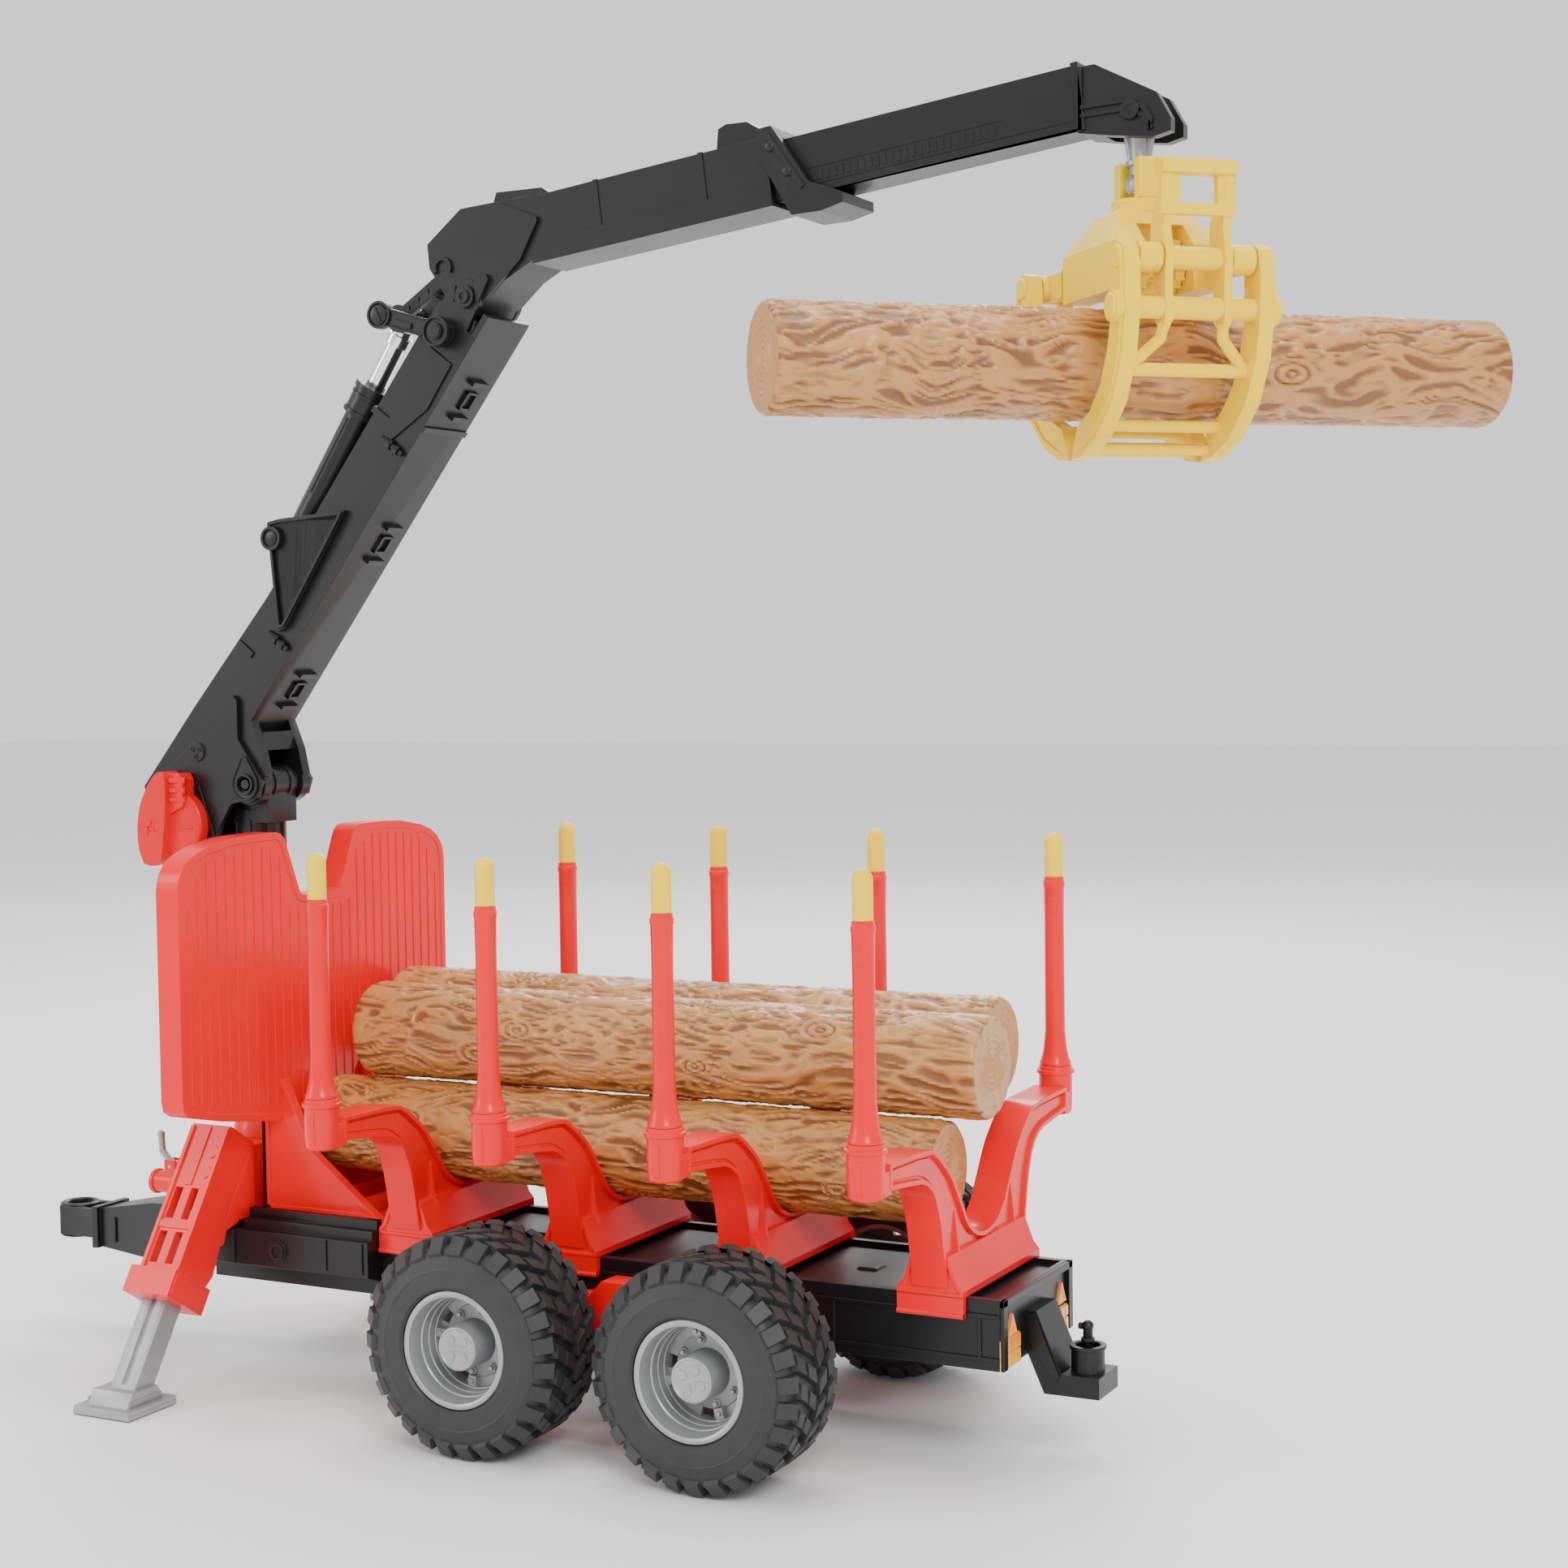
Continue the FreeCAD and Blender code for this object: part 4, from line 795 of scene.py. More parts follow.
class TRAILER_OT_bunks(bpy.types.Operator):
    """Build the four bunks with their stakes and caps"""

    bl_idname = "trailer.bunks"
    bl_label = "Bunks and stakes"

    def execute(self, context):
        stake_y = (span("stakes")[1].y - span("stakes")[0].y) / 2 - 5.4
        stakes = Moulding()
        caps = Moulding()
        for number in range(1, 5):
            x = at(f"bunk_{number}").x
            bunk_piece(x).finish(f"log_bunk_{number}", "chassis", "red_plastic", [f"bunk_{number}"], 0.12)
            for y in (-stake_y, stake_y):
                stakes.absorb(stake_piece(x, y).bm)
                caps.absorb(cap_piece(x, y).bm)
        stakes.finish("stake_tubes", "chassis", "red_plastic", ["stakes"], 0.15)
        caps.finish("bullet_caps", "chassis", "yellow_plastic", ["stake_caps"], 0.15)
        return {"FINISHED"}


class TRAILER_OT_headboard(bpy.types.Operator):
    """Build the ribbed headboard"""

    bl_idname = "trailer.headboard"
    bl_label = "Headboard"

    def execute(self, context):
        low, high = span("headboard")
        front, rear = low.x, low.x + 9.9
        right = [(26, 95), (30, 95), (60, 100), (77, 104), (80.4, 106), (81.3, 110), (81.3, 184), (80.9, 187.4), (79.6, 190.6)]
        right += [(77.2, 193.7), (73, 196.6), (66, 199), (52, 201.5), (40, 202), (26, 202), (23.4, 201.4), (21.4, 199.6)]
        right += [(20, 197), (13, 180), (12, 178.2), (10, 177.5)]
        piece = Moulding()
        faces = piece.plate(along(mirrored(right), front), (rear - front, 0, 0))
        for face in faces:
            piece.panel(face, 2.6, 0.45)
        # upright ribs between the lower edge and the outline above it
        edge = sorted(right[4:], key=lambda p: p[0])
        count = 30
        for side in (-1, 1):
            for i in range(count // 2):
                y = 2.6 + i * 5.2
                if y < 12:
                    top = 172.5
                else:
                    above = [p for p in edge if p[1] > 130]
                    top = min(z for yy, z in above if abs(yy - y) < 7.5) - 4.6
                bottom = 99.6 if y < 30 else 100.4 + (y - 30) * 0.16
                if y > 77.0:
                    continue
                for face_x in (front + 0.05, rear - 1.05):
                    piece.block((face_x, side * y - 0.4, bottom), (face_x + 1.0, side * y + 0.4, top))
        # foot, sloping side ribs, apron and small gussets
        deck = 58.0
        piece.block((front, -30, deck), (-115, 30, deck + 3))
        piece.block((front, -26, 61), (front + 3, 26, 96))
        slope = [(front, 61), (-120, 61), (-124, 64), (-150, 84), (rear, 110), (front, 110)]
        for y in (-26, 22):
            for face in piece.plate(beside(slope, y), (0, 4, 0)):
                piece.panel(face, 1.6, 0.8)
        for x in (-150, -132):
            piece.block((x, -22, deck + 3), (x + 1.6, 22, deck + 9))
        piece.finish("ribbed_headboard", "chassis", "red_plastic", ["headboard"], 0.15)
        return {"FINISHED"}


# ---------------------------------------------------------------- crane
BOOM_FOOT = (-184.1, 241.6)
BOOM_ANGLE = math.radians(52.38)
BOOM_DEPTH = 21.2
BOOM_SIDE = 13.5
STICK_MID = (11.4, 423.2)
STICK_TILT = math.radians(6.84)
STICK_SIDE = 11.0


def on_boom(u, w):
    """(x, z) at distance u up the boom's underside and w above it."""
    c, s = math.cos(BOOM_ANGLE), math.sin(BOOM_ANGLE)
    return BOOM_FOOT[0] + u * c - w * s, BOOM_FOOT[1] + u * s + w * c


def on_stick(s, t):
    """(x, z) at distance s along the stick's axis and t above it."""
    c, n = math.cos(STICK_TILT), math.sin(STICK_TILT)
    return STICK_MID[0] + s * c - t * n, STICK_MID[1] + s * n + t * c


def bar(piece, where, u0, u1, w0, w1, y0, y1):
    """Block lined up with the boom or the stick."""
    corners = [where(u0, w0), where(u1, w0), where(u1, w1), where(u0, w1)]
    return piece.plate(beside(corners, y0), (0, y1 - y0, 0))


def fitting(piece, where, u, w0, w1, y):
    """Knurled hose fitting that lies against a side."""
    step = (w1 - w0) / 6
    for i, radius in enumerate((1.0, 1.7, 1.2, 1.9, 1.3, 0.9)):
        a, b = where(u, w0 + i * step), where(u, w0 + (i + 1) * step)
        piece.peg((a[0], y, a[1]), (b[0], y, b[1]), radius, steps=12)


class TRAILER_OT_boom(bpy.types.Operator):
    """Build the column, main boom, heel cheeks and cylinder bracket"""

    bl_idname = "trailer.boom"
    bl_label = "Main boom"

    def execute(self, context):
        piece = Moulding("main_boom")
        side = BOOM_SIDE
        for sign in (-1, 1):
            inner, outer = sorted((sign * side, sign * (side + 0.75)))
            gusset = [on_boom(122, 13.5), on_boom(136, 14.5), on_boom(160, 14.5), on_boom(160, 3), on_boom(141, 2.2), on_boom(121, 9.5)]
            piece.plate(beside(gusset, inner), (0, outer - inner, 0))
            for u in (22, 62, 128):
                bar(piece, on_boom, u - 1.3, u + 1.3, BOOM_DEPTH - 7.5, BOOM_DEPTH + 1.0, inner, outer + 0.2 * sign)
            for u in (34, 122):
                fitting(piece, on_boom, u, 1.5, 12.5, sign * (side + 0.8))
        for u in (22, 62, 128):
            bar(piece, on_boom, u - 1.3, u + 1.3, BOOM_DEPTH - 0.3, BOOM_DEPTH + 1.0, -side, side)
        for u in (16, 84, 148):
            for at_u in (u - 8, u + 7):
                bar(piece, on_boom, at_u, at_u + 1.8, -2.2, 0.3, -2.5, 7.0)
            for low_y in (-1.0, 4.6):
                bar(piece, on_boom, u - 3.6, u + 4.0, -1.3, 0.3, low_y, low_y + 1.0)
            for at_u in (u - 3.6, u + 3.0):
                bar(piece, on_boom, at_u, at_u + 1.0, -1.3, 0.3, -1.0, 5.6)
        bar(piece, on_boom, 133, 135.4, -0.9, 0.3, -side, side)
        roller = at("boom_hinge_pin")
        piece.finish("boom_box", "boom", "black_plastic", ["main_boom"], 0.15)

        cheeks = Moulding("boom_cheeks")
        face = BOOM_SIDE + 2
        for sign in (-1, 1):
            y = sign * face
            for x, z in ring(-207.6, 231.1, 1.9, 3, 0.5):
                cheeks.turned([(0.55, 0), (0.55, sign * 1.15), (1.0, sign * 1.15), (1.0, 0)], (x, y, z), steps=16)
            drop = [(-185 + 6.2 * math.cos(a), 219 + 6.2 * math.sin(a)) for a in [math.radians(d) for d in range(-200, 21, 20)]]
            drop += [(-184.2, 229.5), (-186.4, 229.8)]
            start, swept = cheeks.plate(beside(drop, y), (0, sign * 0.9, 0))
            cheeks.panel(swept, 0.8, 0.5)
            cheeks.turned([(3.1, 0), (3.1, sign * 1.3), (4.1, sign * 1.3), (4.1, 0)], (-185, y, 219), steps=28)
            rib_low, rib_high = sorted((y, y + sign * 0.9))
            seven = [(-212.5, 217.5), (-206.5, 218.5), (-199.0, 197.5), (-200.2, 197.0), (-207.0, 216.6), (-212.5, 216.2)]
            cheeks.plate(beside(seven, rib_low), (0, rib_high - rib_low, 0))
        cheeks.finish("heel_cheeks", "boom", "black_plastic", ["boom_cheeks"], 0.2)

        bracket = Moulding("cylinder_bracket")
        for sign in (-1, 1):
            y = sign * 15.5
            plate = [(-171.2, 316.6), (-166, 317.6), (-136.8, 319.6), (-138.6, 316.5), (-164.8, 277.9), (-167.6, 277.2)]
            start, swept = bracket.plate(beside(plate, y), (0, sign * 1.0, 0))
            bracket.panel(swept, 1.1, 1.6)
            bracket.turned([(0, 0), (0, sign * 1.5), (2.6, sign * 1.5), (2.6, sign * 1.1), (3.4, sign * 1.1), (3.4, sign * 1.9),
                            (4.5, sign * 1.9), (4.5, 0)], (-169.2, y, 310.8), steps=28)
        bracket.finish("bracket_plates", "boom", "black_plastic", ["cylinder_bracket"], 0.1)

        pin = Moulding("elbow_pin")
        elbow = at("elbow_pin")
        for sign in (-1, 1):
            y = elbow.y + sign * (BOOM_SIDE + 1.4)
            pin.turned([(0, 0), (0, sign * 0.1), (1.3, sign * 0.1), (1.3, sign * 0.7), (2.4, sign * 0.7), (2.4, 0)], (elbow.x, y, elbow.z), steps=24)
        pin.finish("elbow_pin_heads", "boom", "black_plastic", ["elbow_pin"], 0.12)

        column = Moulding("crane_column")
        low, high = span("crane_column")
        centre = at("crane_column")
        base_x = -190.6
        for i in range(8):
            spot = Matrix.Translation((base_x, 0, 0)) @ Matrix.Rotation(i * math.pi / 4 + 0.2, 4, "Z")
            made = column.block((8.6, -0.7, 151), (9.9, 0.7, 205))
            bmesh.ops.transform(column.bm, verts=made, matrix=spot)
        column.turned([(9.0, 150.4), (10.4, 150.4), (10.4, 153), (9.0, 154)], (base_x, 0, 0), "Z", 40)
        for y in (-5.5, 3.5):
            column.turned([(6.1, y), (6.9, y), (6.9, y + 2), (6.1, y + 2)], (roller.x, 0, roller.z), steps=40)
        column.finish("slewing_column", "crane", "black_plastic", ["crane_column"], 0.2)
        pivot = Moulding("boom_hinge_pin")
        for sign in (-1, 1):
            pivot.turned([(0, 0), (0, sign * 0.1), (1.7, sign * 0.1), (1.7, sign * 0.6), (2.8, sign * 0.6), (2.8, 0)],
                         (roller.x, sign * 15.3, roller.z), steps=24)
        pivot.finish("heel_pin", "crane", "black_plastic", ["boom_hinge_pin"], 0.15)
        return {"FINISHED"}


class TRAILER_OT_knob(bpy.types.Operator):
    """Build the lock knob: leaf-shaped grip, round lobe, grip ridges and screw recess"""

    bl_idname = "trailer.knob"
    bl_label = "Lock knob"

    def execute(self, context):
        piece = Moulding()
        x, z = -223.8, 202.7
        front, back = -25.4, -15.85
        leaf = [(x - 3, z - 14), (x - 5.6, z - 8), (x - 6.0, z), (x - 4.6, z + 8), (x - 0.5, z + 16), (x + 3.5, z + 20.5)]
        leaf += [(x + 6.5, z + 21.4), (x + 8.2, z + 19.5), (x + 8.2, z + 8), (x + 7.2, z - 2), (x + 5.5, z - 14), (x + 1, z - 15)]
        leaf = eased(leaf + [leaf[0]], 2)[:-1]
        start, swept = piece.plate(beside(leaf, back), (0, front - back, 0))
        lobe = [(0, back), (12.3, back), (12.3, back - 4.4), (11.4, back - 5.2), (9.5, back - 5.7), (0, back - 5.7)]
        piece.turned([(r, a) for r, a in lobe], (x + 9, 0, z + 1), steps=56)
        shoulder = [(x + 6, z + 20.5), (x + 13, z + 20.5), (x + 14.6, z + 18), (x + 14.6, z + 8), (x + 6, z + 4)]
        piece.plate(beside(shoulder, back), (0, -7.0, 0))
        for i in range(3):
            level = z + 10.5 + i * 3.6
            piece.peg((x + 8.6, back - 7.0, level), (x + 15.2, back - 5.6, level), 1.25, steps=14)
        piece.block((x + 12.5, back - 6.2, z - 0.4), (x + 18.0, back - 5.5, z + 0.4))
        rim = [(4.9, front + 0.3), (4.9, front - 0.1), (4.2, front - 0.1), (4.0, front + 0.3)]
        piece.turned(rim, (x, 0, z), steps=36)
        piece.turned([(4.0, front + 0.2), (3.6, front + 0.02), (0.0, front - 0.02), (0, front + 0.2)], (x, 0, z), steps=36)
        for angle in (0.4, 2.0):
            made = piece.block((-3.2, front - 0.45, -0.55), (3.2, front + 0.2, 0.55))
            bmesh.ops.transform(piece.bm, verts=made, matrix=Matrix.Translation((x, 0, z)) @ Matrix.Rotation(angle, 4, "Y"))
        piece.finish("lock_knob_grip", "knob", "knob_red", ["lock_knob"], 0.25)
        return {"FINISHED"}


class TRAILER_OT_elbow(bpy.types.Operator):
    """Build the knuckle cylinder, its links and the elbow housing with the stick"""

    bl_idname = "trailer.elbow"
    bl_label = "Elbow and stick"

    def execute(self, context):
        foot, eye = Vector((-169.2, 0, 310.8)), Vector((-116.7, 0, 389.2))
        axis = (eye - foot).normalized()

        def on_axis(distance):
            return foot + axis * distance

        barrel = Moulding("knuckle_barrel")
        for a, b, radius in ((54.2, 56.0, 7.4), (61.6, 62.8, 7.2), (64.4, 66.4, 7.4), (20, 52, 6.3)):
            if radius < 7:
                for turn in (0.6, 2.2, 3.8, 5.4):
                    across = axis.orthogonal().normalized()
                    across.rotate(Matrix.Rotation(turn, 3, axis))
                    barrel.peg(on_axis(a) + across * 5.5, on_axis(b) + across * 5.5, 0.75, steps=10)
            else:
                barrel.peg(on_axis(a), on_axis(b), radius, steps=40)
        barrel.finish("cylinder_barrel", "barrel", "black_plastic", ["knuckle_barrel"], 0.18)

        rod = Moulding("knuckle_rod")
        rod.peg(on_axis(84), on_axis(88), 4.6, steps=32)
        rod.finish("plated_piston_rod", "rod", "chrome", ["knuckle_rod"], 0.12)

        arms = Moulding("link_arms")
        arm_pivot = Vector((-92.4, 0, 381.7))
        for sign in (-1, 1):
            y = sign * 18.3
            for place, radius in ((eye, 5.0), (arm_pivot, 5.5)):
                arms.turned([(radius - 1.0, 0), (radius - 1.0, sign * 0.8), (radius, sign * 0.8), (radius, 0)], (place.x, y, place.z), steps=32)
            arms.turned([(0, 0), (0, sign * 1.0), (3.2, sign * 1.0), (3.6, sign * 0.7), (3.6, 0)], (eye.x, y, eye.z), steps=28)
            made = arms.block((-3.0, -0.35, -0.45), (3.0, 0.35, 0.45))
            bmesh.ops.transform(arms.bm, verts=made, matrix=Matrix.Translation((eye.x, y + sign * 1.1, eye.z)) @ Matrix.Rotation(1.2, 4, "Y"))
            arms.turned([(0, 0), (0, sign * 0.7), (0.9, sign * 0.7), (0.9, sign * 1.3), (2.0, sign * 1.3), (2.3, sign * 0.9), (3.0, sign * 0.9), (3.0, 0)],
                        (arm_pivot.x, y, arm_pivot.z), steps=28)
            along_arm = (arm_pivot - eye).normalized()
            lift = Vector((-along_arm.z, 0, along_arm.x))
            for offset in (2.55, -3.25):
                a = eye + along_arm * 4.6 + lift * offset
                b = arm_pivot - along_arm * 5.0 + lift * offset
                points = [a, b, b + lift * 0.7, a + lift * 0.7]
                arms.plate([(p.x, y, p.z) for p in points], (0, sign * 0.8, 0))
            a = eye + along_arm * 7 + lift * -1.9
            b = eye + along_arm * 15 + lift * -1.9
            points = [a, b, b + lift * 2.2, a + lift * 2.2]
            arms.plate([(p.x, y, p.z) for p in points], (0, sign * 0.7, 0))
        arms.finish("link_arm_pair", "arms", "black_plastic", ["link_arms"], 0.18)

        top = Moulding("top_link")
        lug = Vector((-92.5, 0, 404.7))
        run = (lug - eye).normalized()
        for y in (-7.0, 6.2):
            for i in range(3):
                a = eye + run * (6 + i * 5)
                points = [a, a + run * 1.0, a + run * 1.0 + Vector((0, 0, 2.0)), a + Vector((0, 0, 2.0))]
                top.plate([(p.x, y, p.z - 1) for p in points], (0, 0.8, 0))
        top.finish("top_link_straps", "link", "black_plastic", ["top_link"], 0.15)

        stick = Moulding("stick_beam")
        side = STICK_SIDE
        for sign in (-1, 1):
            y = sign * side
            # lower side band, strap bands and the outlined cheek of the elbow housing
            inner, outer = sorted((y, y + sign * 0.45))
            bar(stick, on_stick, -60, 27, -11.4, -4.2, inner, outer)
            for s in (-40, 2):
                bar(stick, on_stick, s - 0.9, s + 0.9, -4.5, 11.9, inner, outer + 0.35 * (sign > 0))
            cheek = [(-99.4, 413.6), (-84.8, 425.0), (-70.4, 426.0), (-52.8, 419.5), (-52.8, 418.0), (-60, 405.2),
                     (-67.4, 398.8), (-76.8, 390.9), (-79.5, 387.3), (-86, 387.3), (-89.7, 391), (-98.6, 405)]
            start, swept = stick.plate(beside(cheek, y), (0, sign * 1.4, 0))
            y2 = y + sign * 1.4
            horseshoe = [(math.radians(d), 3.9) for d in range(-30, 211, 20)]
            centre = Vector((-92.5, 0, 404.7))
            outer_arc = [(centre.x + 3.9 * math.cos(a), centre.z + 3.9 * math.sin(a)) for a, _ in horseshoe]
            inner_arc = [(centre.x + 2.6 * math.cos(a), centre.z + 2.6 * math.sin(a)) for a, _ in reversed(horseshoe)]
            stick.plate(beside(outer_arc + inner_arc, y2), (0, sign * 1.1, 0))
            pivot = Vector((-82.5, 0, 393.6))
            stick.turned([(2.7, 0), (2.7, sign * 0.9), (4.3, sign * 0.9), (4.3, 0)], (pivot.x, y2, pivot.z), steps=28)
            for tab in ([(-87.5, 398), (-86.4, 398), (-87.4, 392), (-89.0, 393)], [(-79.0, 400), (-73.5, 401), (-72.6, 399), (-77.0, 391.5), (-78.4, 392.0)]):
                stick.plate(beside(tab, y2), (0, sign * 1.6, 0))
        for s in (-40, 2):
            bar(stick, on_stick, s - 0.9, s + 0.9, 11.4, 12.0, -side, side)
        stick.finish("stick_sleeve", "stick", "black_plastic", ["stick_beam"], 0.15)

        mouth = Moulding("end_bracket")
        for sign in (-1, 1):
            y = sign * 12.2
            line = [(36.5, 438.5), (39.0, 439.0), (52.3, 420.3), (50.6, 419.2)]
            start, swept = mouth.plate(beside(line, y), (0, sign * 0.5, 0))
            for x, z in ((39.4, 434.2), (45.8, 425.6)):
                mouth.turned([(0, 0), (0, sign * 1.1), (0.8, sign * 1.1), (1.6, sign * 0.8), (1.9, 0)], (x, y, z), steps=20)
        mouth.finish("mouth_bracket", "stick", "black_plastic", ["end_bracket"], 0.2)

        inner_beam = Moulding("extension")
        half = 8.4
        for i in range(26):
            s = 41.5 + i * 2.6
            for sign in (-1, 1):
                low, high = sorted((sign * half, sign * (half + 0.24)))
                bar(inner_beam, on_stick, s, s + 1.3, -6.2, -2.4, low, high)
        for sign in (-1, 1):
            y = sign * half
            low, high = sorted((y, y + sign * 0.24))
            bar(inner_beam, on_stick, 40, 134, -7.3, -6.9, low, high)
            bar(inner_beam, on_stick, 40, 110, -1.7, -1.4, low, high)
            for lower in (0.0, -2.6):
                rib = [(148, 436.4 + lower), (163, 437.0 + lower), (169.5, 434.5 + lower), (172, 430 + lower), (171, 426.6), (170, 426.6),
                       (170.6, 430 + lower), (168.2, 433.4 + lower), (162.8, 435.8 + lower), (148, 435.2 + lower)]
                inner_beam.plate(beside(rib, y), (0, sign * 0.9, 0))
            frame_bar = [(147.2, 428.4), (148.6, 428.4), (148.6, 448.4), (147.2, 448.2)]
            inner_beam.plate(beside(frame_bar, y), (0, sign * 0.8, 0))
        inner_beam.finish("sliding_extension", "tip", "black_plastic", ["extension"], 0.1)

        tip = Moulding("tip_pin")
        centre = at("tip_pin")
        for sign in (-1, 1):
            tip.turned([(0, 0), (0, sign * 0.1), (1.2, sign * 0.1), (1.2, sign * 0.5), (3.0, sign * 0.5), (3.2, 0)],
                       (centre.x, sign * 9.4, centre.z), steps=24)
        tip.finish("tip_pin_heads", "tip", "black_plastic", ["tip_pin"], 0.15)

        hook = Moulding("hook_link")
        x, z = centre.x, centre.z
        hook.turned([(5.4, -4.15), (7.9, -4.15), (7.9, -2.6), (7.0, -2.2), (7.0, 2.2), (7.9, 2.6), (7.9, 4.15), (5.4, 4.15)], (x, 0, z), steps=48)
        for dx in (-2.3, 2.3):
            hook.peg((x + dx, 0, 417.5), (x + dx * 1.7, 0, z - 5.5), 1.25, 1.5, steps=18)
        hook.finish("swing_link", "hook", "silver_plastic", ["hook_link"], 0.15)
        return {"FINISHED"}


# ---------------------------------------------------------------- grab
def on_grab(turn):
    """Matrix that turns a piece from the grab's own axes and puts it under the hook."""
    centre = at("tip_pin")
    return Matrix.Translation((centre.x, 0, 0)) @ Matrix.Rotation(math.radians(turn), 4, "Z")


class TRAILER_OT_grab(bpy.types.Operator):
    """Build the grab: rotator, faceted housing, claws, pins and handle"""

    bl_idname = "trailer.grab"
    bl_label = "Grab"

    def execute(self, context):
        place = on_grab(45)
        back = place.inverted()

        def start(node):
            piece = Moulding(node)
            piece.moved(back)
            return piece

        def end(piece, name, body, node, edge):
            piece.moved(place)
            piece.finish(name, body, "yellow_plastic", [node], edge)

        rotator = start("grab_rotator")
        rotator.turned([(7.5, 404.6), (9.2, 404.8), (9.2, 406.0), (7.5, 406.6)], (0, 0, 0), "Z", 40)
        for y in (-9.5, 8.6):
            rotator.block((-3.0, y, 407.5), (3.0, y + 0.9, 417.5))
        end(rotator, "rotator_head", "grab", "grab_rotator", 0.25)

        housing = start("grab_housing")
        # stepped gears seen through the mouths
        for sign in (-1, 1):
            for x0, x1, radius in ((-7.6, -4.6, 7.2), (-4.6, -1.0, 5.2), (1.0, 4.6, 5.2), (4.6, 7.6, 7.2)):
                teeth = 14
                housing.peg((x0, sign * 9.5, 385), (x1, sign * 9.5, 385), radius, steps=24)
                for i in range(teeth):
                    made = housing.block((x0, -0.55, radius - 0.3), (x1, 0.55, radius + 1.0))
                    turn = Matrix.Translation((0, sign * 9.5, 385)) @ Matrix.Rotation(i * 2 * math.pi / teeth, 4, "X")
                    bmesh.ops.transform(housing.bm, verts=made, matrix=turn)
        end(housing, "faceted_housing", "grab", "grab_housing", 0.22)

        for node, body, sign in (("claw_front", "claw_a", -1), ("claw_rear", "claw_b", 1)):
            claw = start(node)
            rib = [(39.2, 384), (39.9, 368), (37.2, 354), (30.6, 341.2), (19.6, 331.6), (8, 327.0)]
            inner = [(8, 328.2), (19.0, 332.8), (29.6, 342.0), (36.0, 354.4), (38.7, 368), (38.0, 384)]
            outline = [(sign * y, z) for y, z in rib + inner]
            for x, push in ((-25.0, -0.7), (25.0, 0.7)):
                claw.plate(along(outline, x), (push, 0, 0))
            end(claw, "claw_plates_" + ("front" if sign < 0 else "rear"), body, node, 0.12)
        handle = start("claw_handle")
        end(handle, "claw_handle_plates", "claw_a", "claw_handle", 0.08)
        for node, body in (("claw_pins_front", "claw_a"), ("claw_pins_rear", "claw_b")):
            pins = start(node)
            sign = -1 if node.endswith("front") else 1
            for x, out in ((-27.6, -1), (27.6, 1)):
                pins.peg((x, sign * 36.5, 368), (x + out * 0.7, sign * 36.5, 368), 4.0, 3.4, steps=28)
            for x, out in ((-25.0, -1), (25.0, 1)):
                pins.peg((x, sign * 36.0, 383), (x + out * 0.9, sign * 36.0, 383), 3.6, 3.2, steps=28)
            end(pins, node + "_heads", body, node, 0.2)
        return {"FINISHED"}


